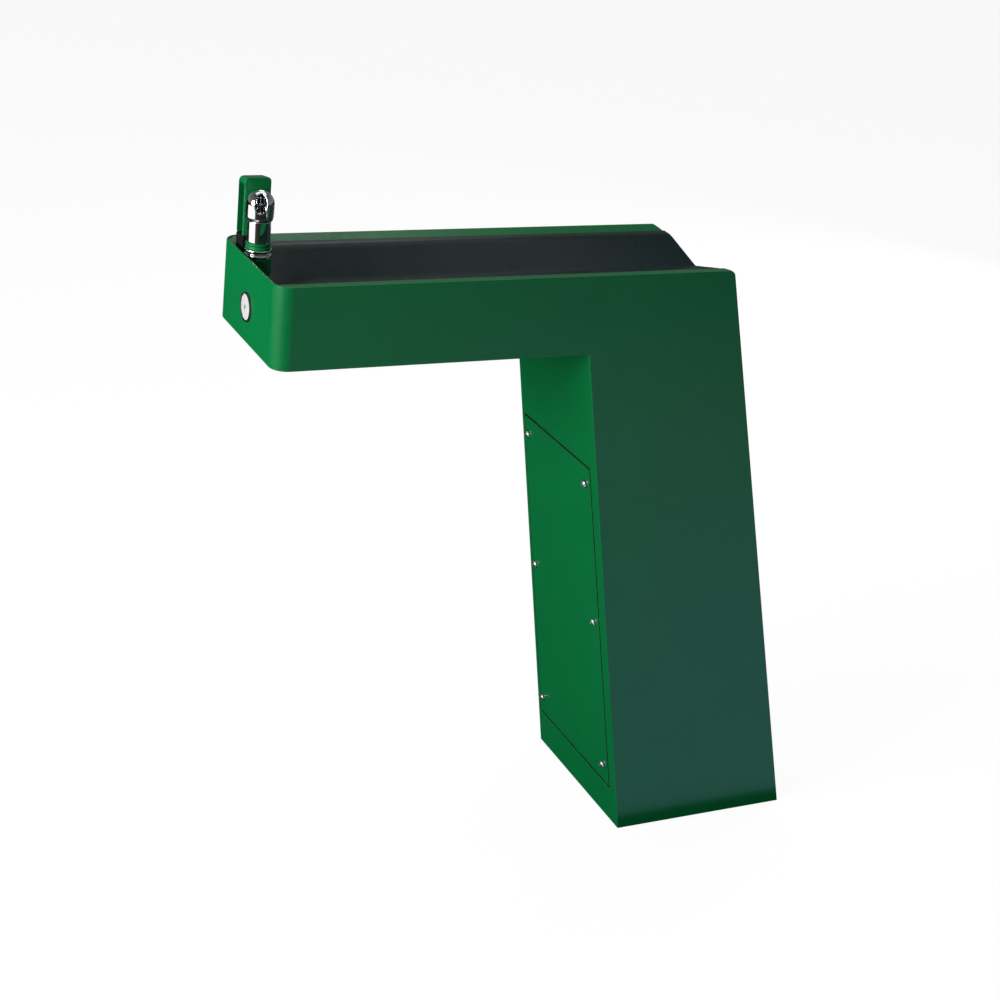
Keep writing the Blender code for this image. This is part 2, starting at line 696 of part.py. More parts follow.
def bubbler_stack():
    """Shank, nozzle, collars and lock nut of the bubbler, and the boss it stands on."""
    up = (0, 0, 1)
    foot, shoulder = SHANK_FOOT_Z, SHANK_SHOULDER_Z
    top, neck_top = HEAD_FOOT_Z - GAP, HEAD_FOOT_Z + 5 * MM
    shank = [(0, foot), (THREAD_RADIUS, foot), (THREAD_RADIUS, shoulder), (SHANK_RADIUS, shoulder)]
    shank += [(SHANK_RADIUS, top), (NECK_RADIUS, top), (NECK_RADIUS, neck_top), (0, neck_top)]
    turned("bubbler_shank", shank, on_bubbler(0), up, chrome("bubbler_shank"))
    spout_axis = MOUTH + Vector((0, 0, 1.6))
    spout = [(0, 0), (4.5 * MM, 0), (4.5 * MM, 9 * MM), (1.8 * MM, 10 * MM), (1.8 * MM, 4 * MM)]
    spout.append((0, 4 * MM))
    base = on_bubbler(neck_top + 3.2 * MM)
    turned("bubbler_nozzle", spout, base, spout_axis, chrome("bubbler_nozzle"), 20)
    bore = THREAD_RADIUS + GAP
    edge = 2 * MM
    for name, (low, high), radius, coat in (
        ("bubbler_collar", COLLAR_Z, COLLAR_RADIUS, green_coat("bubbler_collar")),
        ("bubbler_flange", FLANGE_Z, BOSS_RADIUS, chrome("bubbler_flange")),
    ):
        ring = [(bore, low), (radius - edge, low), (radius, low + edge), (radius, high - edge)]
        ring += [(radius - edge, high), (bore, high)]
        turned(name, ring, on_bubbler(0), up, coat)
    deep = SHANK_FOOT_Z + 10 * MM
    ring = [(bore, deep), (BOSS_RADIUS, deep), (BOSS_RADIUS, BOSS_TOP_Z), (bore, BOSS_TOP_Z)]
    boss = turned("bubbler_boss", ring, on_bubbler(0), up, green_coat("bubbler_boss"))
    combine(boss, [below_basin("basin_below_boss")], "DIFFERENCE")
    low, high = SHANK_FOOT_Z + 0.5 * MM, SHANK_FOOT_Z + 9 * MM
    nut = [(bore, low), (13 * MM, low), (13 * MM, high), (bore, high)]
    turned("bubbler_lock_nut", nut, on_bubbler(0), up, brass("bubbler_lock_nut"), 24, (1, 2))


def below_basin(name):
    """Everything under the basin's upper surface near the bubbler, raised by one gap."""
    rings = []
    for line in basin_upper_lines(BEFORE_DRAIN):
        ring = [(x, y, z + 1.4 * GAP) for x, y, z in line]
        x = line[0][0]
        deep = BASIN_RIM_Z - 150 * MM
        rings.append(ring + [(x, -BASIN_EDGE_Y, deep), (x, BASIN_EDGE_Y, deep)])
    return loft(name, rings, green_coat("tool"), twisted=True)


# ---------------------------------------------------------------- push button and valve
def push_button():
    """Button with its stem; it slides along +X through the bezel into the valve."""
    skin, edge, boss_radius = 3 * MM, 0.6 * MM, 9.5 * MM
    boss_end = BUTTON_BOSS_LENGTH
    stem_end = VALVE_FRONT_X + STEM_ENGAGED - BUTTON_FACE_X
    profile = [(0, 0), (BUTTON_RADIUS - edge, 0), (BUTTON_RADIUS, edge)]
    profile += [(BUTTON_RADIUS, skin), (boss_radius, skin), (boss_radius, boss_end)]
    profile += [(STEM_RADIUS, boss_end), (STEM_RADIUS, stem_end), (0, stem_end)]
    origin = (BUTTON_FACE_X, 0, BUTTON_Z)
    turned("push_button", profile, origin, (1, 0, 0), chrome("push_button"), 32)


def button_bezel():
    """Ring on the end panel with a sleeve through it, and the nut that holds it from behind."""
    inner = BUTTON_RADIUS + GAP
    edge = 1 * MM
    rim = USER_END_X - GAP
    proud = BUTTON_FACE_X - GAP
    sleeve_end = USER_END_X + 14 * MM
    profile = [(inner, proud), (BEZEL_RADIUS - edge, proud), (BEZEL_RADIUS, proud + edge)]
    profile += [(BEZEL_RADIUS, rim), (SLEEVE_RADIUS, rim), (SLEEVE_RADIUS, sleeve_end)]
    profile.append((inner, sleeve_end))
    centre = (0, 0, BUTTON_Z)
    turned("button_bezel", profile, centre, (1, 0, 0), rubber("button_bezel"), 32)
    bore = SLEEVE_RADIUS + GAP
    front, back = USER_END_X + SHEET + GAP, USER_END_X + SHEET + 6 * MM
    radius = BEZEL_RADIUS + 0.4 * MM
    ring = [(bore, front), (radius, front), (radius, back), (bore, back)]
    turned("bezel_nut", ring, centre, (1, 0, 0), steel("bezel_nut"), 24)


def button_spring():
    """Compression spring between the back of the button and the front of the valve."""
    turns, steps = 3, 12
    wire, coil = 0.6 * MM, 7
    start = BUTTON_FACE_X + BUTTON_BOSS_LENGTH + wire + GAP
    length = VALVE_FRONT_X - wire - GAP - start
    points = []
    for k in range(turns * steps + 1):
        angle = 2 * pi * k / steps
        x = start + length * k / (turns * steps)
        points.append((x / MM, coil * cos(angle), BUTTON_Z / MM + coil * sin(angle)))
    tube("button_spring", points, wire, steel("button_spring"), 1, 100)


def push_valve():
    """Valve body that the button works, with its flow screw, bracket and lock nut."""
    along = (1, 0, 0)
    centre = (0, 0, BUTTON_Z)
    bore = STEM_RADIUS + GAP
    bore_end = VALVE_FRONT_X + STEM_ENGAGED + BUTTON_TRAVEL + 3 * MM
    profile = [(bore, VALVE_FRONT_X), (VALVE_RADIUS, VALVE_FRONT_X), (VALVE_RADIUS, VALVE_REAR_X)]
    profile += [(NIPPLE_RADIUS, VALVE_REAR_X), (NIPPLE_RADIUS, NIPPLE_TIP_X), (0, NIPPLE_TIP_X)]
    profile += [(0, bore_end), (bore, bore_end)]
    body = turned("valve_body", profile, centre, along, brass("valve_body"))
    outlet = [(0, 0), (6 * MM, 0), (6 * MM, 20 * MM), (0, 20 * MM)]
    place = (VALVE_OUTLET_X, 0, BUTTON_Z)
    branch = turned("valve_outlet", outlet, place, (0, 1, 0), brass("tool"), 20)
    combine(body, [branch], "UNION")
    screw_radius = 3 * MM
    place = (VALVE_OUTLET_X, -VALVE_RADIUS, BUTTON_Z)
    drill(body, "flow_screw_hole", place, (0, 1, 0), screw_radius + GAP, 6 * MM, 20)
    flow_screw(screw_radius)
    ring_bore = NIPPLE_RADIUS + GAP
    front = VALVE_REAR_X + GAP
    back = valve_bracket(front, ring_bore)
    front = back + GAP
    nut = [(ring_bore, front), (12 * MM, front), (12 * MM, front + 6 * MM)]
    nut.append((ring_bore, front + 6 * MM))
    turned("valve_lock_nut", nut, centre, along, brass("valve_lock_nut"), 24, (1, 2))


def flow_screw(radius):
    """Slotted screw in the side of the valve that sets how much water it passes."""
    head, under_head, top = 4.5 * MM, 5.5 * MM, 8 * MM
    profile = [(0, 0), (radius, 0), (radius, under_head), (head, under_head), (head, top), (0, top)]
    place = Vector((VALVE_OUTLET_X, -9.2 * MM, BUTTON_Z))
    adjuster = turned("flow_screw", profile, place, (0, -1, 0), steel("flow_screw"), 20)
    slot_sides = (5.2 * MM, 1.4 * MM, 1.1 * MM)
    slot = box("flow_screw_slot", slot_sides, place - Vector((0, top, 0)))
    combine(adjuster, [slot], "DIFFERENCE")


def valve_bracket(front, bore):
    """Angle on the arm's underside that holds the valve; returns where its upright ends."""
    thick = 2.5 * MM
    back = front + thick
    low = ARM_BOTTOM + 3 * MM
    high, foot_end, half_width_y = 807 * MM, back + 24 * MM, 20 * MM
    hook = [(front, high), (back, high), (back, low + thick), (foot_end, low + thick)]
    hook += [(foot_end, low), (front, low)]
    rings = [[(x, y, z) for x, z in hook] for y in (-half_width_y, half_width_y)]
    bracket = loft("valve_bracket", rings, steel("valve_bracket"))
    drill(bracket, "bracket_hole", (front, 0, BUTTON_Z), (1, 0, 0), bore, 6 * MM, 24)
    return back


def box(name, sides, centre):
    a, b, c = (side / 2 for side in sides)
    x, y, z = centre
    lower = [(x - a, y - b, z - c), (x + a, y - b, z - c), (x + a, y + b, z - c), (x - a, y + b, z - c)]
    upper = [(px, py, z + c) for px, py, _ in lower]
    return loft(name, [lower, upper], steel("tool"))


# ---------------------------------------------------------------- water and waste
def supply_line():
    """Floor stub, stop valve with its handle, and the tubes up to the push valve and bubbler."""
    up = (0, 0, 1)
    base = SUPPLY_HOLE
    low = STOP_Z - 18 * MM
    foot, stub_radius = 1 * MM, 9 * MM
    stub = [(0, foot), (stub_radius, foot), (stub_radius, low), (0, low)]
    turned("supply_stub", stub, base, up, steel("supply_stub"), 24)
    body = [(0, low + GAP), (13 * MM, low + GAP), (13 * MM, STOP_Z + 14 * MM)]
    body += [(8 * MM, STOP_Z + 14 * MM), (8 * MM, STOP_Z + 24 * MM), (0, STOP_Z + 24 * MM)]
    valve = turned("stop_valve_body", body, base, up, chrome("stop_valve_body"), 28)
    reach = STOP_REACH
    stem = [(0, 0), (8 * MM, 0), (8 * MM, reach), (3 * MM, reach), (3 * MM, reach + 5 * MM)]
    stem.append((0, reach + 5 * MM))
    centre = SUPPLY_HOLE + Vector((0, 0, STOP_Z))
    arm = turned("stop_valve_stem", stem, centre, (-1, 0, 0), chrome("tool"), 24)
    combine(valve, [arm], "UNION")
    stop_valve_handle(centre - Vector((reach + GAP, 0, 0)))
    grey, white = plastic("supply_tube", (0.6, 0.61, 0.62)), plastic("bubbler_tube", (0.75, 0.76, 0.74))
    tube("supply_tube", SUPPLY_ROUTE, SUPPLY_TUBE_RADIUS, grey, 2, 4)
    tube("bubbler_tube", BUBBLER_ROUTE, BUBBLER_TUBE_RADIUS, white)


SUPPLY_ROUTE = (
    (30, -40, 164.4),
    (30, -40, 200),
    (10, -48, 300),
    (-45, -58, 480),
    (-100, -62, 620),
    (-140, -58, 700),
    (-190, -50, 752),
    (-260, -42, 768),
    (-400, -40, 770),
    (-540, -40, 770),
    (-590, -38, 773),
    (-607, -28, 779),
    (-617, -12, 786),
    (-624, -2, 789.5),
    (-629, 0, 790),
    (-635.4, 0, 790),
)
BUBBLER_ROUTE = (
    (-664, 20.4, 790),
    (-664, 27, 790),
    (-665, 36, 785),
    (-669, 41, 774),
    (-676, 42, 768),
    (-683, 40, 771),
    (-686, 38, 780),
    (-686, 38, 799.6),
)


def stop_valve_handle(origin):
    """Oval quarter-turn handle on the stop valve's stem."""
    rings = []
    for depth in (0, 9 * MM):
        ring = []
        for k in range(28):
            angle = 2 * pi * k / 28
            ring.append((-depth, 12 * MM * cos(angle), 22 * MM * sin(angle)))
        rings.append(ring)
    handle = loft("stop_valve_handle", rings, plastic("stop_valve_handle", (0.03, 0.12, 0.4)))
    handle.location = origin
    drill(handle, "handle_socket", origin, (1, 0, 0), 3.3 * MM, 6 * MM, 16)


def drain():
    """Strainer in the basin's lowest point, its gasket and nut, and the elbow below."""
    up = (0, 0, 1)
    centre = (DRAIN_X, 0, 0)
    floor = DRAIN_FLOOR_Z
    spigot = SPIGOT_RADIUS
    wall = spigot - 2 * MM
    foot = 781 * MM
    top = floor + GAP + 1.6 * MM
    profile = [(wall, foot), (spigot, foot), (spigot, floor + GAP), (24 * MM, floor + GAP)]
    profile += [(23 * MM, top), (0, top), (0, top - 2.2 * MM), (wall, top - 2.2 * MM)]
    strainer = turned("drain_strainer", profile, centre, up, steel("drain_strainer"))
    hole_ring, holes, first = 9.5 * MM, 8, radians(6)
    for k in range(holes):
        angle = first + 2 * pi * k / holes
        place = Vector(centre) + Vector((hole_ring * cos(angle), hole_ring * sin(angle), top))
        drill(strainer, f"strainer_hole_{k}", place, up, 2.4 * MM, 5 * MM, 10)
    under = floor - BASIN_SHEET - GAP
    bore = spigot + GAP
    gasket = [(bore, under - 2 * MM), (23 * MM, under - 2 * MM), (23 * MM, under), (bore, under)]
    turned("drain_gasket", gasket, centre, up, rubber("drain_gasket"))
    low, high = under - 10 * MM, under - 2.3 * MM
    nut = [(bore, low), (22 * MM, low), (22 * MM, high), (bore, high)]
    turned("drain_nut", nut, centre, up, brass("drain_nut"), 24, (1, 2))
    grey = plastic("drain_elbow", (0.7, 0.7, 0.68))
    cup = [(bore, 788 * MM), (bore, 780.5 * MM), (14 * MM, 780.5 * MM), (14 * MM, 768 * MM)]
    cup += [(0, 768 * MM), (0, 751 * MM), (14 * MM, 751 * MM), (19.5 * MM, 756 * MM)]
    cup.append((19.5 * MM, 788 * MM))
    elbow = turned("drain_elbow", cup, centre, up, grey, 20)
    outlet = [(0, 12 * MM), (13 * MM, 12 * MM), (13 * MM, 34 * MM), (0, 34 * MM)]
    branch = turned("elbow_outlet", outlet, (DRAIN_X, 0, 766 * MM), (1, 0, 0), grey, 20)
    combine(elbow, [branch], "UNION")
    drill(elbow, "elbow_bore", (DRAIN_X + 22 * MM, 0, 769.5 * MM), (1, 0, 0), 8 * MM, 18 * MM, 20)


WASTE_ROUTE = (
    (-535.6, 0, 766),
    (-500, 0, 765.5),
    (-380, 0, 763),
    (-260, 2, 761),
    (-215, 5, 755),
    (-185, 10, 730),
    (-168, 18, 690),
    (-150, 26, 600),
    (-140, 30, 520),
    (-140, 30, 470),
)
TRAP_ROUTE = (
    (-140, 30, 469.6),
    (-140, 30, 430),
    (-134, 30, 408),
    (-112, 30, 397),
    (-90, 30, 408),
    (-84, 30, 430),
    (-84, 30, 455),
)
TAIL_ROUTE = (
    (-84, 30, 455.4),
    (-84, 30, 470),
    (-76, 30, 490),
    (-56, 30, 500),
    (-36, 30, 490),
    (-28, 30, 468),
    (-24, 30, 420),
    (10, 30, 260),
    (50, 30, 110),
    (62, 30, 50),
    (62, 30, 2),
)


def waste_line():
    """Waste pipe along the arm, trap in the leg and tail down through the base plate."""
    light = (0.78, 0.78, 0.75)
    radius = WASTE_PIPE_RADIUS
    tube("waste_pipe", WASTE_ROUTE, radius, plastic("waste_pipe", light), 2, 1.5)
    tube("trap_bend", TRAP_ROUTE, radius, plastic("trap_bend", light), 2, 0.6)
    tube("waste_tail", TAIL_ROUTE, radius, plastic("waste_tail", light), 2, 1.5)
    bore = radius + GAP
    for name, x, low in (("trap_nut_inlet", -140, 460), ("trap_nut_outlet", -84, 446)):
        ring = [(bore, 0), (17.5 * MM, 0), (17.5 * MM, 20 * MM), (bore, 20 * MM)]
        place = Vector((x, 30, low)) * MM
        turned(name, ring, place, (0, 0, 1), plastic(name, light), 24, (1, 2))


# ---------------------------------------------------------------- base
def base():
    """Floor plate with its anchors, and the two uprights and gussets that stiffen the leg."""
    outline = [(BASE_FRONT_X, BASE_HALF_WIDTH), (BASE_REAR_X, BASE_HALF_WIDTH)]
    outline += [(x, -y) for x, y in reversed(outline)]
    rings = [[(x, y, z) for x, y in outline] for z in (0, BASE_PLATE_THICKNESS)]
    plate = loft("base_plate", rings, steel("base_plate"))
    up = (0, 0, 1)
    drill(plate, "waste_hole", WASTE_HOLE, up, 15 * MM, 40 * MM)
    drill(plate, "supply_hole", SUPPLY_HOLE, up, 11 * MM, 40 * MM)
    top = BASE_PLATE_THICKNESS
    corners = [(x, y) for x in (-ANCHOR_X, ANCHOR_X) for y in (-ANCHOR_Y, ANCHOR_Y)]
    for k, (x, y) in enumerate(corners, 1):
        drill(plate, f"anchor_hole_{k}", (x, y, 0), up, ANCHOR_RADIUS + 1 * MM, 40 * MM)
        stud = [(0, 1 * MM), (ANCHOR_RADIUS, 1 * MM), (ANCHOR_RADIUS, 43 * MM)]
        stud += [(ANCHOR_RADIUS - 1.2 * MM, 45 * MM), (0, 45 * MM)]
        turned(f"anchor_stud_{k}", stud, (x, y, 0), up, steel(f"anchor_stud_{k}"), 12)
        bore = ANCHOR_RADIUS + 2 * GAP
        nut = [(bore, top + GAP), (13 * MM, top + GAP), (13 * MM, top + 2.5 * MM)]
        nut += [(9.2 * MM, top + 3.5 * MM), (9.2 * MM, top + 12 * MM), (bore, top + 12 * MM)]
        turned(f"anchor_nut_{k}", nut, (x, y, 0), up, steel(f"anchor_nut_{k}"), 12, (3, 4))
    for name, side in (("upright_right", -1), ("upright_left", 1)):
        upright(name, side)
    for name, side in (("gusset_right", -1), ("gusset_left", 1)):
        gusset(name, side)


def upright(name, side):
    """Flat bar inside the rear panel, from the base plate up to the arm."""
    behind = LEG_SHEET + 2 * GAP
    low = BASE_PLATE_THICKNESS + GAP - REAR_INWARD.z * (behind + UPRIGHT_DEPTH)
    outer = UPRIGHT_OUTER_Y
    rings = []
    for z in (low + 0.2 * MM, UPRIGHT_TOP):
        ring = []
        for y, depth in (
            (outer, behind),
            (outer - UPRIGHT_WIDTH, behind),
            (outer - UPRIGHT_WIDTH, behind + UPRIGHT_DEPTH),
            (outer, behind + UPRIGHT_DEPTH),
        ):
            ring.append(on_rear(side * y, z, depth))
        rings.append(ring)
    loft(name, rings, steel(name))


def gusset(name, side):
    """Triangular plate between the base plate and an upright."""
    behind = LEG_SHEET + UPRIGHT_DEPTH + 3 * GAP
    low, high = BASE_PLATE_THICKNESS + GAP, 210 * MM
    level = behind / REAR_UP.z
    back = rear_x(low) - level
    outline = [(back, low), (rear_x(high) - level, high), (back - 100 * MM, low)]
    rings = [[(x, side * y, z) for x, z in outline] for y in GUSSET_Y]
    loft(name, rings, steel(name))


# ---------------------------------------------------------------- the whole
def main():
    for obj in list(bpy.data.objects):
        bpy.data.objects.remove(obj, do_unlink=True)
    for name, side in (("side_panel_right", -1), ("side_panel_left", 1)):
        side_panel(name, side)
    end_panel()
    arm_underside()
    leg_front_frame()
    access_panel()
    panel_screws()
    rear_panel()
    basin()
    bubbler_guard()
    guard_pad()
    bubbler_head()
    bubbler_stack()
    push_button()
    button_bezel()
    button_spring()
    push_valve()
    supply_line()
    drain()
    waste_line()
    base()


main()
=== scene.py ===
"""Looks of the cantilevered drinking fountain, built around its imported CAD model.

Metres, +Z up, in the CAD model's frame: the user stands at -X, "right" is -Y, "left" is +Y.
"""
import json
from math import atan2, cos, pi, radians, sin, sqrt, tan

import bmesh
import bpy
from mathutils import Matrix, Vector

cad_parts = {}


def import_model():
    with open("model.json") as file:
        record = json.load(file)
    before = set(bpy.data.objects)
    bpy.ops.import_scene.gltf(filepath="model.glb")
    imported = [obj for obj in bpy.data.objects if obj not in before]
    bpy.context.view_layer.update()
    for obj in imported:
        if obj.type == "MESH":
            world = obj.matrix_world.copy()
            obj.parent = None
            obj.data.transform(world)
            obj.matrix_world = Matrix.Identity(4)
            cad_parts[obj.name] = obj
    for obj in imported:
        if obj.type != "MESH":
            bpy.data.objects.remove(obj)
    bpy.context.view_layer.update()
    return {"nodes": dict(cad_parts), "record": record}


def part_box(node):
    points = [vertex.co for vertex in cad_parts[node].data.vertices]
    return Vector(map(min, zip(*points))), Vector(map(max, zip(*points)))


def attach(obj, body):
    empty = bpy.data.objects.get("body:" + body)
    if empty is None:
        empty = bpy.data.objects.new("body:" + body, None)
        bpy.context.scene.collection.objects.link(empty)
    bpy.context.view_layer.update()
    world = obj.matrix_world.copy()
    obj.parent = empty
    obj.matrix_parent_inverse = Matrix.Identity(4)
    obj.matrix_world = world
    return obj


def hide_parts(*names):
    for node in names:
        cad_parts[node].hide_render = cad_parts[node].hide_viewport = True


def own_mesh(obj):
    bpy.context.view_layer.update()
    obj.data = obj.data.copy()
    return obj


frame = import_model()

MM = 0.001

# ---------------------------------------------------------------- dimensions
# Housing, from the CAD nodes' boxes.
RIGHT_LOW, RIGHT_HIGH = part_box("side_panel_right")
END_LOW, END_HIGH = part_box("end_panel")
RIM_Z = RIGHT_HIGH.z
ARM_Z = END_LOW.z
USER_X = END_LOW.x
FOOT_X = RIGHT_HIGH.x
FOOT_HALF = -RIGHT_LOW.y
LEAN = (FOOT_HALF - END_HIGH.y) / ARM_Z
RIM_HALF = FOOT_HALF - LEAN * RIM_Z
KNEE_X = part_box("arm_underside_panel")[1].x + 1.2 * MM
REAR_TOP_X = -74 * MM
REAR_RADIUS = 9 * MM
END_RADIUS = 22 * MM
SHEET = 2.5 * MM
EDGE_RADIUS = 1.5 * MM
FLANGE_SLOPE = tan(radians(11))
FLANGE_INNER_Y = 79 * MM

# Basin.
BASIN_LOW, BASIN_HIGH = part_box("basin")
BASIN_EDGE_Y = BASIN_HIGH.y
BASIN_RIM_Z = BASIN_HIGH.z
BASIN_SHOULDER_Y = 68 * MM
TUCKED_EDGE_Y = -BASIN_LOW.y
TUCKED_SHOULDER_Y = 70 * MM
TUCKED_Z = 841 * MM
BASIN_SHEET = 1.5 * MM
DRAIN_LOW, DRAIN_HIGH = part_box("drain_strainer")
DRAIN_X = (DRAIN_LOW.x + DRAIN_HIGH.x) / 2
DRAIN_Z = 807 * MM
DRAIN_FLAT = 28 * MM
# Lowest line of the basin at three places along it: its height, and its flat's half-width.
END_VALLEY = (812 * MM, 6 * MM)
DRAIN_VALLEY = (DRAIN_Z, DRAIN_FLAT)
REAR_VALLEY = (822.5 * MM, 1 * MM)

# Leg front, its window and the access panel in it.
PANEL_TOP_S = 176 * MM
PANEL_BOTTOM_S = 696 * MM
PANEL_LEFT_INSET = 7.5 * MM
PANEL_RIGHT_INSET = 22 * MM
PANEL_GAP = 2.4 * MM
PANEL_LEFT_GAP = 1.6 * MM
PANEL_TRIM = 1.2 * MM
PANEL_RECESS = 0.5 * MM
PANEL_SHEET = 2 * MM
SCREW_HEAD = 5.2 * MM
SCREW_DOME = 4.4 * MM
SCREW_SHADE_RING = 6.2 * MM

# Bubbler, guard and push button.
HEAD_LOW, HEAD_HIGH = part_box("bubbler_head")
BUBBLER = Vector(((HEAD_LOW.x + HEAD_HIGH.x) / 2, (HEAD_LOW.y + HEAD_HIGH.y) / 2, 0))
HEAD_RADIUS = (HEAD_HIGH.x - HEAD_LOW.x) / 2
HEAD_WALL = 2 * MM
MOUTH = Vector((-0.27, -0.96, 0)).normalized()
MOUTH_HALF_WIDTH = 8.2 * MM
MOUTH_HALF_HEIGHT = 12.2 * MM
MOUTH_Z = 913.5 * MM
SHANK_RADIUS = 14.7 * MM
BOSS_RADIUS = 17.3 * MM
THREAD_RADIUS = 9.7 * MM
GUARD_LOW, GUARD_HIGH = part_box("bubbler_guard")
GUARD_RADIUS = 6 * MM
GUARD_WALL = 2 * MM
GUARD_REAR_DROP = 4 * MM
BUTTON_LOW, BUTTON_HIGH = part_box("push_button")
BUTTON_Z = (BUTTON_LOW.z + BUTTON_HIGH.z) / 2
BUTTON_RADIUS = (BUTTON_HIGH.y - BUTTON_LOW.y) / 2
BUTTON_HOLE_RADIUS = 17.9 * MM

# Camera: its place round the target, and its lens on a 36 mm sensor.
CAMERA_TARGET = Vector((-327.5, 0, 491.6)) * MM
CAMERA_DISTANCE = 2662.5 * MM
CAMERA_AZIMUTH = radians(-27.32)
CAMERA_ELEVATION = radians(23.58)
CAMERA_ROLL = radians(6.425)
CAMERA_LENS = 69.02


def half_width(z):
    """Outer half-width of the housing at height z."""
    return RIM_HALF + LEAN * (RIM_Z - z)


def flange_z(y):
    """Height of the rim flanges' upper face across the housing."""
    return RIM_Z - (RIM_HALF - abs(y)) * FLANGE_SLOPE


# ---------------------------------------------------------------- mesh helpers
def new_object(name, vertices, faces, coat=None):
    mesh = bpy.data.meshes.new(name)
    mesh.from_pydata([tuple(v) for v in vertices], [], faces)
    work = bmesh.new()
    work.from_mesh(mesh)
    bmesh.ops.recalc_face_normals(work, faces=work.faces)
    if work.calc_volume(signed=True) < 0:
        bmesh.ops.reverse_faces(work, faces=work.faces)
    work.to_mesh(mesh)
    work.free()
    obj = bpy.data.objects.new(name, mesh)
    bpy.context.scene.collection.objects.link(obj)
    if coat:
        mesh.materials.append(coat)
    return obj


def loft(name, rings, coat=None):
    """Closed solid through loops of equal length, with flat ends."""
    count = len(rings[0])
    vertices = [point for ring in rings for point in ring]
    faces = [tuple(range(count)), tuple(range(len(vertices) - count, len(vertices)))]
    for k in range(len(rings) - 1):
        for i in range(count):
            a, b = k * count + i, k * count + (i + 1) % count
            faces.append((a, b, b + count, a + count))
    return new_object(name, vertices, faces, coat)


def turned(name, profile, origin, axis, coat=None, sides=96):
    """Solid of revolution; a profile that starts and ends at radius 0 closes at its poles."""
    solid = profile[0][0] == 0
    vertices, rings = [], []
    for radius, height in profile:
        if radius == 0:
            vertices.append((0, 0, height))
            rings.append([len(vertices) - 1] * sides)
            continue
        rings.append(list(range(len(vertices), len(vertices) + sides)))
        for k in range(sides):
            angle = 2 * pi * k / sides
            vertices.append((radius * cos(angle), radius * sin(angle), height))
    pairs = list(zip(rings, rings[1:]))
    if not solid:
        pairs.append((rings[-1], rings[0]))
    faces = []
    for lower, upper in pairs:
        for k in range(sides):
            n = (k + 1) % sides
            corners = dict.fromkeys((lower[k], lower[n], upper[n], upper[k]))
            if len(corners) > 2:
                faces.append(tuple(corners))
    obj = new_object(name, vertices, faces, coat)
    turn = Vector(axis).to_track_quat("Z", "Y").to_matrix().to_4x4()
    obj.data.transform(Matrix.Translation(origin) @ turn)
    return obj


def arc_angles(start, end, pieces):
    """Angles in radians from start to end, which are in degrees."""
    return [radians(start + (end - start) * k / pieces) for k in range(pieces + 1)]


def arc(centre, radius, start, end, pieces):
    """Points of an arc in a plane, angles in degrees."""
    angles = arc_angles(start, end, pieces)
    return [(centre[0] + radius * cos(a), centre[1] + radius * sin(a)) for a in angles]


def curve(first, corner, last, pieces):
    """Points of a curve that leaves first and reaches last along the lines to corner."""
    shares = [k / pieces for k in range(pieces + 1)]
    return [tuple(first * (1 - t) ** 2 + corner * 2 * t * (1 - t) + last * t**2) for t in shares]


def soften(points, cut, closed=True, pieces=4):
    """Outline whose corners are short curves that start and end cut away from each corner."""
    count = len(points)
    made = []
    for k, corner in enumerate(points):
        here = Vector(corner)
        if not closed and k in (0, count - 1):
            made.append(tuple(here))
            continue
        before = Vector(points[k - 1]) - here
        after = Vector(points[(k + 1) % count]) - here
        reach = min(cut, 0.45 * before.length, 0.45 * after.length)
        first = here + before.normalized() * reach
        last = here + after.normalized() * reach
        made += curve(first, here, last, pieces)
    return made


def settle(obj):
    """Applies obj's modifiers to its mesh."""
    graph = bpy.context.evaluated_depsgraph_get()
    mesh = bpy.data.meshes.new_from_object(obj.evaluated_get(graph))
    obj.modifiers.clear()
    obj.data = mesh
    return obj


def carve(obj, tool, operation="DIFFERENCE"):
    """Boolean of obj with tool, applied; tool is used up."""
    step = obj.modifiers.new("carve", "BOOLEAN")
    step.operation = operation
    step.solver = "EXACT"
    step.object = tool
    settle(obj)
    bpy.data.objects.remove(tool, do_unlink=True)
    return obj


def bevel(obj, width, segments=4, angle=30):
    step = obj.modifiers.new("bevel", "BEVEL")
    step.width = width
    step.segments = segments
    step.limit_method = "ANGLE"
    step.angle_limit = radians(angle)
    return settle(obj)


def smooth(obj, angle=32):
    """Smooth shading that leaves edges sharper than angle crisp and large faces flat."""
    obj.data.shade_smooth()
    obj.data.set_sharp_from_angle(angle=radians(angle))
    step = obj.modifiers.new("weighted_normal", "WEIGHTED_NORMAL")
    step.keep_sharp = True
    return obj


def housed(obj, slot, *nodes, body="housing"):
    """obj rides on body and stands for the CAD nodes, which it hides; slot is not used."""
    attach(obj, body)
    if nodes:
        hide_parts(*nodes)
    return obj


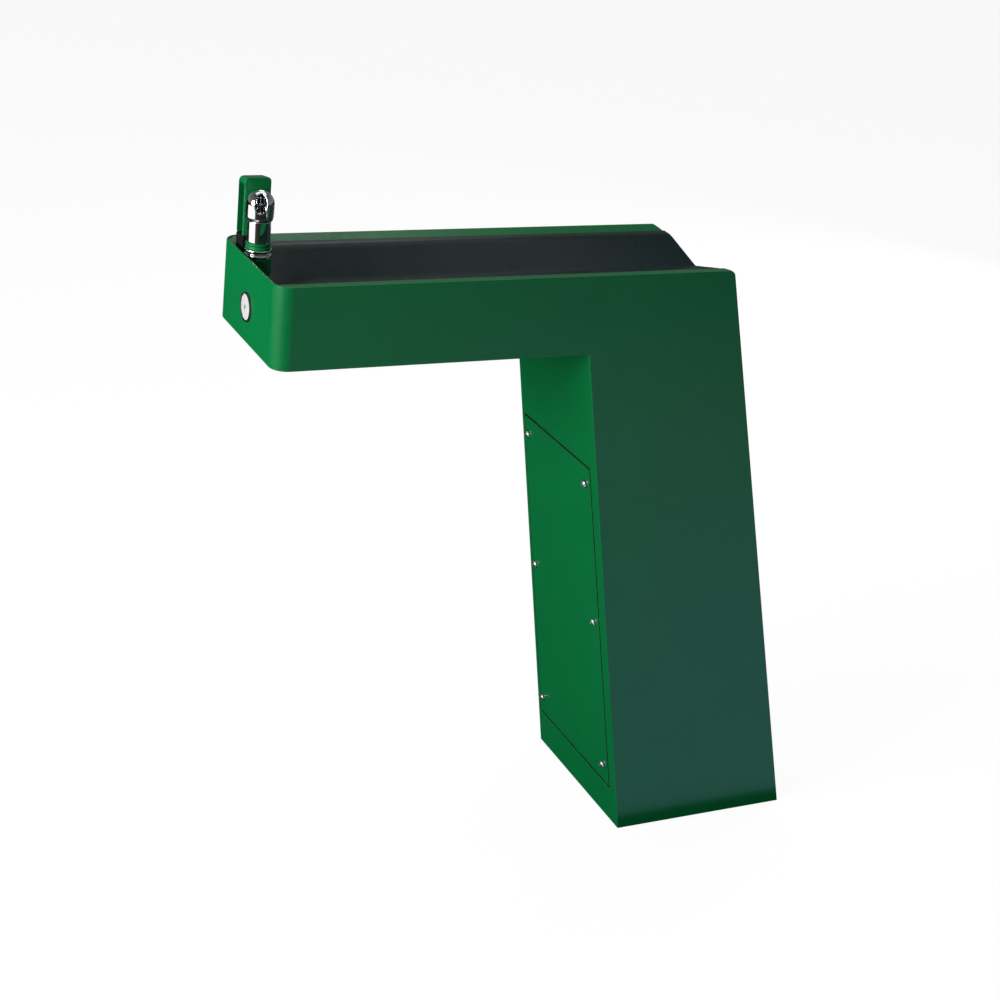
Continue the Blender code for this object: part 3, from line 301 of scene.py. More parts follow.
# ---------------------------------------------------------------- materials
class Nodes:
    """Short way to write a material's node tree."""

    def __init__(self, name, roughness, metallic=0.0):
        self.material = bpy.data.materials.new(name)
        self.material.use_nodes = True
        self.tree = self.material.node_tree
        self.shader = self.tree.nodes["Principled BSDF"]
        self.set(self.shader, Roughness=roughness, Metallic=metallic)
        place = self.add("ShaderNodeTexCoord")
        self.place = place.outputs["Object"]

    def add(self, kind, **inputs):
        node = self.tree.nodes.new(kind)
        self.set(node, **inputs)
        return node

    def set(self, node, **inputs):
        for name, value in inputs.items():
            socket = node.inputs[name.replace("_", " ")]
            if isinstance(value, bpy.types.NodeSocket):
                self.tree.links.new(value, socket)
            else:
                socket.default_value = value

    def noise(self, scale, detail=3.0, stretch=(1, 1, 1)):
        """Noise of that many features a metre, stretched along the axes."""
        mapping = self.add("ShaderNodeMapping", Vector=self.place, Scale=stretch)
        node = self.add("ShaderNodeTexNoise", Vector=mapping.outputs["Vector"], Scale=scale)
        self.set(node, Detail=detail)
        return node.outputs["Fac"]

    def spread(self, value, low, high, start=0.3, end=0.7):
        """value's range from start to end becomes low to high."""
        node = self.add("ShaderNodeMapRange", Value=value)
        node.inputs["From Min"].default_value = start
        node.inputs["From Max"].default_value = end
        node.inputs["To Min"].default_value = low
        node.inputs["To Max"].default_value = high
        return node.outputs["Result"]

    def blend(self, share, first, second):
        """Colour between first and second."""
        node = self.tree.nodes.new("ShaderNodeMix")
        node.data_type = "RGBA"
        self.tree.links.new(share, node.inputs[0])
        for socket, value in ((node.inputs[6], first), (node.inputs[7], second)):
            if isinstance(value, bpy.types.NodeSocket):
                self.tree.links.new(value, socket)
            else:
                socket.default_value = (*value, 1)
        return node.outputs[2]

    def bump(self, height, strength, distance):
        node = self.add("ShaderNodeBump", Height=height, Strength=strength, Distance=distance)
        self.set(self.shader, Normal=node.outputs["Normal"])


def powder_coat(name, light, dark, roughness, specular, peel=0.05):
    """Semi-gloss powder coat: slight mottling, and an orange-peel skin."""
    n = Nodes(name, roughness)
    cloud = n.spread(n.noise(9, 4), 0, 1)
    grain = n.spread(n.noise(420, 2), 0, 1)
    base = n.blend(cloud, dark, light)
    speck = n.spread(grain, 0.0, 0.10)
    n.set(n.shader, Base_Color=n.blend(speck, base, tuple(1.6 * c for c in light)))
    rough = n.spread(n.noise(60, 3), roughness - 0.04, roughness + 0.05)
    n.set(n.shader, Roughness=rough, Specular_IOR_Level=specular)
    n.bump(n.noise(520, 2), peel, 0.3 * MM)
    return n.material


def polished_chrome(name):
    """Mirror plating with faint smears and water spots."""
    n = Nodes(name, 0.05, 1.0)
    smear = n.noise(70, 5, (1, 1, 0.35))
    n.set(n.shader, Base_Color=n.blend(n.spread(smear, 0, 1), (0.86, 0.87, 0.88), (0.95, 0.95, 0.96)))
    n.set(n.shader, Roughness=n.spread(smear, 0.02, 0.10))
    n.bump(n.noise(140, 2), 0.03, 0.2 * MM)
    return n.material


def brushed(name, first, second, roughness, stretch, metallic=1.0):
    """Metal with fine lines along one axis."""
    n = Nodes(name, roughness, metallic)
    line = n.noise(900, 4, stretch)
    n.set(n.shader, Base_Color=n.blend(n.spread(line, 0, 1), first, second))
    n.set(n.shader, Roughness=n.spread(line, roughness - 0.08, roughness + 0.10))
    n.bump(line, 0.12, 0.1 * MM)
    return n.material


def moulded(name, first, second, roughness, grain=600, specular=0.5):
    """Moulded plastic or rubber: fine grain, and slight changes of shade."""
    n = Nodes(name, roughness)
    n.set(n.shader, Specular_IOR_Level=specular)
    n.set(n.shader, Base_Color=n.blend(n.spread(n.noise(25, 4), 0, 1), first, second))
    n.set(n.shader, Roughness=n.spread(n.noise(200, 3), roughness - 0.05, roughness + 0.08))
    n.bump(n.noise(grain, 2), 0.15, 0.1 * MM)
    return n.material


GREEN = powder_coat("green_powder_coat", (0.0, 0.166, 0.042), (0.0, 0.152, 0.039), 0.34, 0.25)
# Painted shade and reflection: the basin's near-black colour stands in for the shade and the dark
# reflections inside the trough.
BASIN_PAINTED_DARK = powder_coat("basin_painted_shade_and_reflection", (0.006, 0.02, 0.02), (0.005, 0.016, 0.016), 0.3, 0.2, 0.015)
CHROME = polished_chrome("polished_chrome")
BUTTON = brushed("satin_button", (0.86, 0.86, 0.87), (0.93, 0.93, 0.94), 0.3, (1, 1, 0.05), 0.3)
STAINLESS = brushed("stainless_steel", (0.86, 0.86, 0.87), (0.94, 0.94, 0.95), 0.3, (0.08, 1, 1))
ZINC = brushed("zinc_plated_steel", (0.4, 0.41, 0.42), (0.52, 0.53, 0.55), 0.42, (1, 1, 0.3))
BRASS = brushed("brass", (0.55, 0.38, 0.13), (0.68, 0.5, 0.2), 0.3, (1, 1, 0.2))
BLACK = moulded("black_plastic", (0.012, 0.012, 0.012), (0.02, 0.02, 0.02), 0.4)
# Near-black with little sheen: the guard's pad is rubber, and the same near-black paints the shade in the
# access panel's gap and round the screw heads.
RUBBER_AND_SHADE = moulded("black_rubber_and_painted_shade", (0.006, 0.006, 0.006), (0.012, 0.012, 0.012), 0.75, specular=0.1)
WHITE = moulded("white_pipe_plastic", (0.72, 0.72, 0.69), (0.78, 0.78, 0.75), 0.4)
BLUE = moulded("blue_handle_plastic", (0.02, 0.1, 0.36), (0.03, 0.13, 0.42), 0.35)
SLOT_MATERIALS = {
    "housing_green": GREEN,
    "basin_dark": BASIN_PAINTED_DARK,
    "chrome": CHROME,
    "zinc_steel": ZINC,
    "stainless": STAINLESS,
    "brass": BRASS,
    "black_plastic": BLACK,
    "rubber": RUBBER_AND_SHADE,
    "white_plastic": WHITE,
    "blue_plastic": BLUE,
}


def dress_cad_nodes():
    """Every CAD node gets its slot's material; the ones replaced later are hidden."""
    for subpart in frame["record"]["subparts"]:
        node = frame["nodes"][subpart["node"]]
        node.data.materials.clear()
        node.data.materials.append(SLOT_MATERIALS[subpart["material_slot"]])


# ---------------------------------------------------------------- housing
def side_outline(inset=0.0, below=0.0):
    """The housing's outline in the XZ plane, drawn in by inset and run on past the user's end and,
    by below, under the floor."""
    front = Vector((-FOOT_X - KNEE_X, -ARM_Z)).normalized()
    rear = Vector((REAR_TOP_X - FOOT_X, RIM_Z)).normalized()
    front_shift = inset / abs(front.y)
    rear_shift = inset / abs(rear.y)
    front_run, rear_run = front.x / abs(front.y), rear.x / rear.y
    knee_z = ARM_Z + inset
    knee_x = KNEE_X - front_run * inset + front_shift
    foot_x = -FOOT_X + front_shift + front_run * below
    outline = [(USER_X - 0.2, knee_z), (knee_x, knee_z), (foot_x, -below)]
    outline.append((FOOT_X - rear_shift - rear_run * below, -below))
    rake = atan2(REAR_TOP_X - FOOT_X, RIM_Z)
    reach = REAR_RADIUS * tan((pi / 2 + rake) / 2)
    centre = (REAR_TOP_X - reach, RIM_Z - REAR_RADIUS)
    outline += arc(centre, REAR_RADIUS - inset, -rake * 180 / pi, 90, 12)
    outline.append((USER_X - 0.2, RIM_Z - inset))
    return outline


def extruded(name, outline, depth):
    """XZ outline drawn out to depth on both sides of the middle plane."""
    return loft(name, [[(x, y, z) for x, z in outline] for y in (-depth, depth)])


def along_arm(name, outline, start, end):
    """YZ outline drawn along X from start to end."""
    return loft(name, [[(x, y, z) for y, z in outline] for x in (start, end)])


def mirrored(half):
    """Half outline at +Y, from below up, completed at -Y."""
    return half + [(-y, z) for y, z in reversed(half)]


def plan_block(name, inset, low, high):
    """The housing's plan, with its rounded corners at the user's end, drawn up from low to high."""
    rings = []
    for z in (low, high):
        centre = (USER_X + END_RADIUS, half_width(z) - END_RADIUS)
        side = [(FOOT_X + 0.1, half_width(z) - inset)]
        side += arc(centre, END_RADIUS - inset, 90, 180, 20)
        rings.append([(x, y, z) for x, y in side] + [(x, -y, z) for x, y in reversed(side)])
    return loft(name, rings)


def housing_shell():
    """The welded sheet housing: one skin round both sides, the user's end, the leg and the arm."""
    shell = extruded("housing_shell", side_outline(), 0.2)
    carve(shell, plan_block("plan", 0, -0.05, RIM_Z + 0.05), "INTERSECT")
    bevel(shell, EDGE_RADIUS)
    shell.data.materials.append(GREEN)
    # Hollow inside, up to the underside of the rim flanges.
    cavity = extruded("cavity", side_outline(SHEET, 0.02), 0.19)
    carve(cavity, plan_block("cavity_plan", SHEET, -0.06, RIM_Z + 0.06), "INTERSECT")
    under = [(0.18, -0.1), (0.18, flange_z(0.18) - SHEET)]
    under.append((FLANGE_INNER_Y - 1 * MM, flange_z(FLANGE_INNER_Y) - SHEET))
    under.append((FLANGE_INNER_Y - 1 * MM, RIM_Z + 10 * MM))
    carve(cavity, along_arm("under_flanges", mirrored(under), USER_X - 0.1, 0.2), "INTERSECT")
    carve(shell, cavity)
    # Flanges that slope down to the basin, inside the end wall.
    corner = (USER_X + END_RADIUS, RIM_HALF - END_RADIUS)
    start = USER_X + END_RADIUS + 0.05 * MM
    plan = [(0.1, 0.15), (start, 0.15), (start, RIM_HALF - SHEET)]
    plan += arc(corner, END_RADIUS - SHEET, 90, 180, 20)
    plan += [(x, -y) for x, y in reversed(plan)]
    wedge = loft("wedge", [[(x, y, z) for x, y in plan] for z in (0.7, 1.0)])
    above = [(0.14, flange_z(0.14)), (FLANGE_INNER_Y - 2 * MM, flange_z(FLANGE_INNER_Y - 2 * MM))]
    sloped = [(-0.14, 0.95)] + [(-y, z) for y, z in above] + above[::-1] + [(0.14, 0.95)]
    carve(wedge, along_arm("above_flanges", sloped, USER_X - 0.1, 0.2), "INTERSECT")
    carve(shell, wedge)
    # Opening for the basin, which runs out over the rear sheet.
    low, tucked_low = BASIN_RIM_Z - 5 * MM, TUCKED_Z - 2.5 * MM
    slot_y, slot_z = -TUCKED_EDGE_Y - 0.5 * MM, TUCKED_Z + 0.2 * MM
    notch = [(FLANGE_INNER_Y, 0.95), (FLANGE_INNER_Y, low), (BASIN_SHOULDER_Y, low)]
    notch += [(0, REAR_VALLEY[0] - BASIN_SHEET - 1.2 * MM), (-TUCKED_SHOULDER_Y, tucked_low)]
    notch += [(slot_y, tucked_low), (slot_y, slot_z), (-FLANGE_INNER_Y, slot_z)]
    notch.append((-FLANGE_INNER_Y, 0.95))
    carve(shell, along_arm("notch", notch, USER_X + SHEET + 0.05 * MM, 0.2))
    carve(shell, window_cutter())
    hole = [(0, -10 * MM), (BUTTON_HOLE_RADIUS, -10 * MM), (BUTTON_HOLE_RADIUS, 10 * MM), (0, 10 * MM)]
    carve(shell, turned("button_hole", hole, (USER_X, 0, BUTTON_Z), (1, 0, 0)))
    smooth(shell)
    nodes = ["side_panel_right", "side_panel_left", "end_panel", "arm_underside_panel"]
    return housed(shell, "housing_green", *nodes, "leg_front_frame", "rear_panel")


# ---------------------------------------------------------------- leg front
LEG_SLOPE = Vector((-FOOT_X - KNEE_X, 0, -ARM_Z)).normalized()
LEG_INWARD = Vector((-LEG_SLOPE.z, 0, LEG_SLOPE.x))


def on_leg(s, y, depth):
    """Point s down the leg front from the knee, y across, depth behind its outer face."""
    return Vector((KNEE_X, y, ARM_Z)) + LEG_SLOPE * s + LEG_INWARD * depth


def leg_half_width(s):
    """Outer half-width of the housing at s down the leg front."""
    return half_width(ARM_Z + LEG_SLOPE.z * s)


def leg_ring(grow, depth, grow_left=None):
    """Outline of the access panel, grown all round by grow, at depth behind the leg's face."""
    left = PANEL_LEFT_INSET - (grow if grow_left is None else grow_left)
    right = PANEL_RIGHT_INSET - grow
    top, bottom = PANEL_TOP_S - grow, PANEL_BOTTOM_S + grow
    corners = ((top, 1, left), (top, -1, right), (bottom, -1, right), (bottom, 1, left))
    return [on_leg(s, side * (leg_half_width(s) - inset), depth) for s, side, inset in corners]


def window_cutter():
    """Cuts the window for the access panel; the sheet turns inwards round it."""
    gap, left, fold = PANEL_GAP, PANEL_LEFT_GAP, 1.8 * MM
    rings = [leg_ring(gap + fold, -4 * MM, left + fold)]
    for angle in arc_angles(0, 90, 6):
        out, depth = fold * (1 - sin(angle)), fold * (1 - cos(angle))
        rings.append(leg_ring(gap + out, depth, left + out))
    rings.append(leg_ring(gap, 9 * MM, left))
    return loft("window", rings)


def access_panel():
    """Plate in the leg's window, the ledge behind it, and a near-black strip in the gap round it that
    paints the gap's shade.
    """
    panel = loft(
        "access_panel_plate",
        [leg_ring(-PANEL_TRIM, depth, 0) for depth in (PANEL_RECESS, PANEL_RECESS + PANEL_SHEET)],
        GREEN,
    )
    bevel(panel, 0.7 * MM, 3)
    smooth(panel)
    housed(panel, "housing_green", "access_panel")
    ledge_front = PANEL_RECESS + PANEL_SHEET + 0.2 * MM
    ledge_rings = [leg_ring(4.5 * MM, depth) for depth in (ledge_front, ledge_front + SHEET)]
    ledge = loft("panel_ledge", ledge_rings, GREEN)
    carve(ledge, loft("ledge_opening", [leg_ring(-18 * MM, -0.02), leg_ring(-18 * MM, 0.03)]))
    smooth(ledge)
    housed(ledge, "housing_green")
    # Painted shade: the near-black strip filling the gap round the panel stands in for the shadow down in
    # the gap.
    reach, left = PANEL_GAP - 0.1 * MM, PANEL_LEFT_GAP - 0.1 * MM
    gap_shade_front = PANEL_RECESS + 0.5 * MM
    rings = [leg_ring(reach, depth, left) for depth in (gap_shade_front, ledge_front - 0.05 * MM)]
    gap_shade = loft("panel_gap_painted_shade", rings, RUBBER_AND_SHADE)
    inner = 0.1 * MM - PANEL_TRIM
    carve(gap_shade, loft("gap_shade_opening", [leg_ring(inner, depth, 0.1 * MM) for depth in (-0.01, 0.02)]))
    smooth(gap_shade)
    housed(gap_shade, "rubber")


def panel_screws():
    """Button-head screws with a hexagonal socket, each with a thin near-black ring round its head that
    paints the shade round it.
    """
    for k in range(1, 7):
        name = f"panel_screw_{k}"
        low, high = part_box(name)
        rim = 0.9 * MM
        crown = [(SCREW_HEAD * cos(a), rim + (SCREW_DOME - rim) * sin(a)) for a in arc_angles(0, 84, 10)]
        profile = [(0, -2 * MM), (2 * MM, -2 * MM), (2 * MM, 0.5 * MM), (SCREW_HEAD, 0.5 * MM)]
        profile += crown + [(0, SCREW_DOME)]
        screw = turned(name + "_head", profile, (0, 0, 0), (0, 0, 1), STAINLESS, 48)
        key = 1.7 * MM
        sunk, clear = SCREW_DOME - 1.8 * MM, SCREW_DOME + 1 * MM
        socket = [(0, sunk), (key, sunk), (key, clear), (0, clear)]
        carve(screw, turned("socket", socket, (0, 0, 0), (0, 0, 1), None, 6))
        turn = (-LEG_INWARD).to_track_quat("Z", "Y").to_matrix().to_4x4()
        spin = Matrix.Rotation(radians(17 * k), 4, "Z")
        face = on_leg_face((low + high) / 2)
        screw.data.transform(Matrix.Translation(face) @ turn @ spin)
        smooth(screw)
        housed(screw, "stainless", name)
        # Painted shade: the thin near-black ring under each head stands in for the dark shade round the
        # head.
        ring = [(2.2 * MM, 0), (SCREW_SHADE_RING, 0), (SCREW_SHADE_RING - 0.4 * MM, 0.5 * MM), (2.2 * MM, 0.5 * MM)]
        shade_ring = turned(f"screw_painted_shade_ring_{k}", ring, (0, 0, 0), (0, 0, 1), RUBBER_AND_SHADE, 40)
        shade_ring.data.transform(Matrix.Translation(face) @ turn)
        housed(smooth(shade_ring), "rubber")


def on_leg_face(point):
    """The point's foot on the plane of the access panel's face."""
    face = on_leg(0, 0, PANEL_RECESS)
    return point - LEG_INWARD * (point - face).dot(LEG_INWARD)


# ---------------------------------------------------------------- basin
def basin_half(valley, flat, shoulder_y, edge_y, rim):
    """Half cross-section of the basin's upper face: flat middle, slope, round shoulder, margin."""
    shoulder = Vector((shoulder_y, rim))
    low = soften([(0, valley), (flat, valley), tuple(shoulder)], min(10 * MM, flat + 3 * MM), False, 6)
    slope = (Vector(low[-2]) - shoulder).normalized()
    bend = curve(shoulder + slope * 8 * MM, shoulder, shoulder + Vector((8 * MM, 0)), 10)
    return low[:-1] + bend + [(edge_y, rim)]


def basin_section(valley, flat):
    """Cross-section of the basin from the left edge, over its flange, to the right, tucked one."""
    left = basin_half(valley, flat, BASIN_SHOULDER_Y, BASIN_EDGE_Y, BASIN_RIM_Z)
    right = basin_half(valley, flat, TUCKED_SHOULDER_Y, TUCKED_EDGE_Y, TUCKED_Z)
    return left[::-1] + [(-y, z) for y, z in right[1:]]


def rear_x(z):
    """Outer face of the rear at height z."""
    return FOOT_X + (REAR_TOP_X - FOOT_X) * z / RIM_Z


def basin_lines():
    """Cross-sections of the basin's upper face along it, each from +Y to -Y."""
    start = USER_X + SHEET + 0.4 * MM
    fillet = 7 * MM
    near, far = DRAIN_X - DRAIN_FLAT, DRAIN_X + DRAIN_FLAT
    stretches = (
        (start, END_VALLEY, near, DRAIN_VALLEY, 12),
        (near, DRAIN_VALLEY, far, DRAIN_VALLEY, 4),
        (far, DRAIN_VALLEY, None, REAR_VALLEY, 24),
    )
    for number, (x0, (z0, flat0), x1, (z1, flat1), pieces) in enumerate(stretches):
        for k in range(0 if number == 0 else 1, pieces + 1):
            share = k / pieces
            eased = share * share * (3 - 2 * share) if number == 0 else share
            section = basin_section(z0 + (z1 - z0) * eased, flat0 + (flat1 - flat0) * eased)
            if number == 0 and k == 0:
                yield from end_lines(section, start, fillet)
                continue
            line = []
            for y, z in section:
                end = rear_x(z) if x1 is None else x1
                first = start + fillet if number == 0 else x0
                line.append((first + (end - first) * share, y, z))
            yield line


def end_lines(section, start, fillet):
    """Lines of the basin's end wall, from its top edge down and round the fillet at its foot."""
    rims = []
    for y, _ in section:
        share = (y + TUCKED_SHOULDER_Y) / (BASIN_SHOULDER_Y + TUCKED_SHOULDER_Y)
        rims.append(TUCKED_Z + (BASIN_RIM_Z - TUCKED_Z) * min(max(share, 0), 1))
    yield [(start, y, rim) for (y, _), rim in zip(section, rims)]
    for angle in arc_angles(0, 90, 8):
        along, up = fillet * (1 - cos(angle)), fillet * (1 - sin(angle))
        line = []
        for (y, z), rim in zip(section, rims):
            line.append((start + along, y, min(z + up, rim - (rim - z) * 0.02)))
        yield line


def basin():
    """Trough with a filleted end at the user's side, open at the rear."""
    lines = list(basin_lines())
    vertices = [point for line in lines for point in line]
    count = len(lines[0])
    faces = []
    for k in range(len(lines) - 1):
        for i in range(count - 1):
            a = k * count + i
            faces.append((a, a + 1, a + 1 + count, a + count))
    skin = new_object("basin_trough", vertices, faces, BASIN_PAINTED_DARK)
    face_up(skin)
    solid = skin.modifiers.new("sheet", "SOLIDIFY")
    solid.thickness = BASIN_SHEET
    solid.offset = -1
    solid.use_even_offset = True
    settle(skin)
    drain = [(0, -12 * MM), (17.5 * MM, -12 * MM), (17.5 * MM, 12 * MM), (0, 12 * MM)]
    carve(skin, turned("drain_hole", drain, (DRAIN_X, 0, DRAIN_Z), (0, 0, 1)))
    skin.data.shade_smooth()
    skin.data.set_sharp_from_angle(angle=radians(40))
    return housed(skin, "basin_dark", "basin")


def face_up(obj):
    """Turns the faces of an open sheet so that they point up."""
    work = bmesh.new()
    work.from_mesh(obj.data)
    work.normal_update()
    down = sum(face.normal.z * face.calc_area() for face in work.faces) < 0
    if down:
        bmesh.ops.reverse_faces(work, faces=work.faces)
    work.to_mesh(obj.data)
    work.free()


def strainer():
    """Dished strainer with a ring of holes, held by a screw in its middle."""
    top = DRAIN_HIGH.z
    rim = (DRAIN_HIGH.x - DRAIN_LOW.x) / 2
    profile = [(0, -3 * MM), (16.8 * MM, -3 * MM), (16.8 * MM, -1.6 * MM), (rim, -1.6 * MM)]
    profile += [(rim - 1 * MM, 0), (16 * MM, 0), (14 * MM, -0.9 * MM), (0, -1.2 * MM)]
    plate = turned("strainer_plate", profile, (DRAIN_X, 0, top), (0, 0, 1), STAINLESS, 72)
    hole = [(0, -6 * MM), (2.1 * MM, -6 * MM), (2.1 * MM, 4 * MM), (0, 4 * MM)]
    for ring, holes in ((9.5 * MM, 10), (5.2 * MM, 5)):
        for k in range(holes):
            angle = 2 * pi * (k + 0.3) / holes
            place = (DRAIN_X + ring * cos(angle), ring * sin(angle), top)
            carve(plate, turned("hole", hole, place, (0, 0, 1), None, 18))
    smooth(plate)
    housed(plate, "stainless", "drain_strainer")
    head = [(0, -1.4 * MM), (2.2 * MM, -1.4 * MM), (2.2 * MM, -0.7 * MM), (1.2 * MM, -0.3 * MM)]
    screw = turned("strainer_screw", head + [(0, -0.2 * MM)], (DRAIN_X, 0, top), (0, 0, 1), STAINLESS, 32)
    smooth(screw)
    housed(screw, "stainless")


# ---------------------------------------------------------------- bubbler and guard
def guard_outline(inset, low, top):
    """The guard's outline in the XZ plane, drawn in by inset."""
    x0, x1 = GUARD_LOW.x, GUARD_HIGH.x
    radius = GUARD_RADIUS - inset
    outline = [(x1 - inset, low)]
    outline += arc((x1 - GUARD_RADIUS, top - GUARD_RADIUS), radius, 0, 90, 12)
    outline += arc((x0 + GUARD_RADIUS, top - GUARD_RADIUS), radius, 90, 180, 12)
    return outline + [(x0 + inset, low)]


def guard():
    """Folded sheet guard behind the bubbler, open towards the user; its top falls away to the rear."""
    low, top, wall = GUARD_LOW.z, GUARD_HIGH.z, GUARD_WALL
    rings, hollow_rings = [], []
    for y, inner_y, crest in (
        (GUARD_LOW.y, GUARD_LOW.y + wall, top),
        (GUARD_HIGH.y, GUARD_HIGH.y - wall, top - GUARD_REAR_DROP),
    ):
        rings.append([(x, y, z) for x, z in guard_outline(0, low, crest)])
        hollow_rings.append([(x, inner_y, z) for x, z in guard_outline(wall, low - 5 * MM, crest)])
    body = loft("guard_hood", rings, GREEN)
    bevel(body, 1.8 * MM)
    carve(body, loft("guard_hollow", hollow_rings))
    x0 = GUARD_LOW.x
    sill, lintel = low - 5 * MM, top - GUARD_REAR_DROP - GUARD_RADIUS
    mouth = [(x0 - wall, sill), (x0 + 2 * wall, sill), (x0 + 2 * wall, lintel), (x0 - wall, lintel)]
    sides = (GUARD_LOW.y + wall, GUARD_HIGH.y - wall)
    carve(body, loft("guard_mouth", [[(x, y, z) for x, z in mouth] for y in sides]))
    smooth(body)
    return housed(body, "housing_green", "bubbler_guard")


def guard_pad():
    """Rubber pad under the guard, with softened edges."""
    low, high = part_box("guard_pad")
    corners = [(low.x, low.y), (high.x, low.y), (high.x, high.y), (low.x, high.y)]
    pad = loft("guard_foot_pad", [[(x, y, z) for x, y in corners] for z in (low.z, high.z)], RUBBER_AND_SHADE)
    bevel(pad, 1 * MM)
    smooth(pad)
    return housed(pad, "rubber", "guard_pad")


def on_bubbler(z):
    """Point of the bubbler's axis at height z."""
    return BUBBLER + Vector((0, 0, z))


def hood_radius(z):
    """Outer radius of the bubbler's hood at height z."""
    shoulder = HEAD_HIGH.z - HEAD_RADIUS
    return HEAD_RADIUS if z < shoulder else sqrt(HEAD_RADIUS**2 - (z - shoulder) ** 2)


def bubbler_head():
    """Hood over the nozzle, with a lip round its oval mouth."""
    foot = HEAD_LOW.z
    height = HEAD_HIGH.z - foot
    straight = height - HEAD_RADIUS
    cup = HEAD_RADIUS - HEAD_WALL
    outer = [(SHANK_RADIUS + 0.2 * MM, 0)]
    outer += [(HEAD_RADIUS - (HEAD_RADIUS - outer[0][0]) * (1 - sin(a)), 5 * MM * (1 - cos(a)))
              for a in arc_angles(15, 90, 8)]
    inner = [(0, height - HEAD_WALL)]
    for a in arc_angles(0, 84, 16):
        outer.append((HEAD_RADIUS * cos(a), straight + HEAD_RADIUS * sin(a)))
        inner.insert(1, (cup * cos(a), straight + cup * sin(a)))
    bore = 8.3 * MM
    inner += [(cup, 5 * MM), (bore, 3 * MM), (bore, 0)]
    profile = outer + [(0, height)] + inner
    head = turned("bubbler_hood", profile, on_bubbler(foot), (0, 0, 1), CHROME)
    across = MOUTH.cross(Vector((0, 0, 1)))
    rings = []
    for reach in (5 * MM, 30 * MM):
        ring = []
        for a in arc_angles(0, 360 - 360 / 64, 63):
            sideways = across * (MOUTH_HALF_WIDTH * cos(a))
            ring.append(on_bubbler(MOUTH_Z + MOUTH_HALF_HEIGHT * sin(a)) + MOUTH * reach + sideways)
        rings.append(ring)
    carve(head, loft("mouth", rings))
    smooth(head, 40)
    housed(head, "chrome", "bubbler_head")
    lip_points = []
    for a in arc_angles(0, 360 - 360 / 72, 71):
        sideways = MOUTH_HALF_WIDTH * cos(a)
        z = MOUTH_Z + MOUTH_HALF_HEIGHT * sin(a)
        depth = sqrt(max(hood_radius(z) ** 2 - sideways**2, 0)) - 0.6 * MM
        lip_points.append(on_bubbler(z) + MOUTH * depth + across * sideways)
    housed(smooth_bar("hood_lip", lip_points, 0.8 * MM, CHROME, True), "chrome")


def smooth_bar(name, points, radius, coat, closed):
    """Round bar along a line; an open one has flat ends."""
    line = bpy.data.curves.new(name, "CURVE")
    line.dimensions = "3D"
    spline = line.splines.new("POLY")
    spline.points.add(len(points) - 1)
    for point, place in zip(spline.points, points):
        point.co = (*place, 1)
    spline.use_cyclic_u = closed
    line.use_fill_caps = not closed
    line.bevel_depth = radius
    line.bevel_resolution = 4
    line.materials.append(coat)
    obj = bpy.data.objects.new(name, line)
    bpy.context.scene.collection.objects.link(obj)
    mesh = bpy.data.meshes.new_from_object(obj.evaluated_get(bpy.context.evaluated_depsgraph_get()))
    bpy.data.objects.remove(obj, do_unlink=True)
    made = bpy.data.objects.new(name, mesh)
    bpy.context.scene.collection.objects.link(made)
    merge_doubles(mesh)
    mesh.shade_smooth()
    return made


def merge_doubles(mesh):
    """Joins the vertices that share a place."""
    work = bmesh.new()
    work.from_mesh(mesh)
    bmesh.ops.remove_doubles(work, verts=work.verts, dist=0.01 * MM)
    work.to_mesh(mesh)
    work.free()


def bubbler_stack():
    """Nozzle, shank, collars and boss under the hood."""
    up = (0, 0, 1)
    shank_low = 862.3 * MM
    top = HEAD_LOW.z - 0.3 * MM
    shank = [(0, 800 * MM), (THREAD_RADIUS, 800 * MM), (THREAD_RADIUS, shank_low)]
    shank += soften([(THREAD_RADIUS, shank_low), (SHANK_RADIUS, shank_low), (SHANK_RADIUS, top),
                     (8 * MM, top), (8 * MM, top + 5 * MM)], 1 * MM, False)[1:]
    shank.append((0, top + 5 * MM))
    smooth(turned_piece("bubbler_stem", shank, up, CHROME, "chrome", "bubbler_shank"))
    bore = THREAD_RADIUS + 0.3 * MM
    # Painted reflection: the green of the collar and the boss also stands in for the green the chrome stack
    # reflects from the guard and housing.
    for name, radius, coat, slot, waist in (
        ("bubbler_collar", 16 * MM, GREEN, "housing_green", 1.2 * MM),
        ("bubbler_flange", BOSS_RADIUS, CHROME, "chrome", 2.6 * MM),
    ):
        low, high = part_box(name)[0].z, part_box(name)[1].z
        middle = (low + high) / 2
        ring = [(bore, low), (radius, low), (radius, middle - 1.5 * MM), (radius - waist, middle)]
        ring += [(radius, middle + 1.5 * MM), (radius, high), (bore, high)]
        smooth(turned_piece(name + "_ring", soften(ring, 1 * MM), up, coat, slot, name))
    low, high = BASIN_RIM_Z - 32 * MM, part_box("bubbler_boss")[1].z
    ring = [(bore, low), (BOSS_RADIUS, low), (BOSS_RADIUS, high), (bore, high)]
    ring = soften(ring, 1.2 * MM)
    smooth(turned_piece("bubbler_boss_ring", ring, up, GREEN, "housing_green", "bubbler_boss"))
    spout = [(0, 0), (4.5 * MM, 0), (4.5 * MM, 8.2 * MM), (3.6 * MM, 9.6 * MM), (1.8 * MM, 9.6 * MM),
             (1.8 * MM, 4 * MM), (0, 4 * MM)]
    axis = MOUTH + Vector((0, 0, 1.6))
    base = on_bubbler(HEAD_LOW.z + 8.2 * MM)
    nozzle = turned("nozzle_tip", spout, base, axis, CHROME, 48)
    housed(smooth(nozzle), "chrome", "bubbler_nozzle")


def turned_piece(name, profile, axis, coat, slot, node):
    return housed(turned(name, profile, BUBBLER, axis, coat), slot, node)


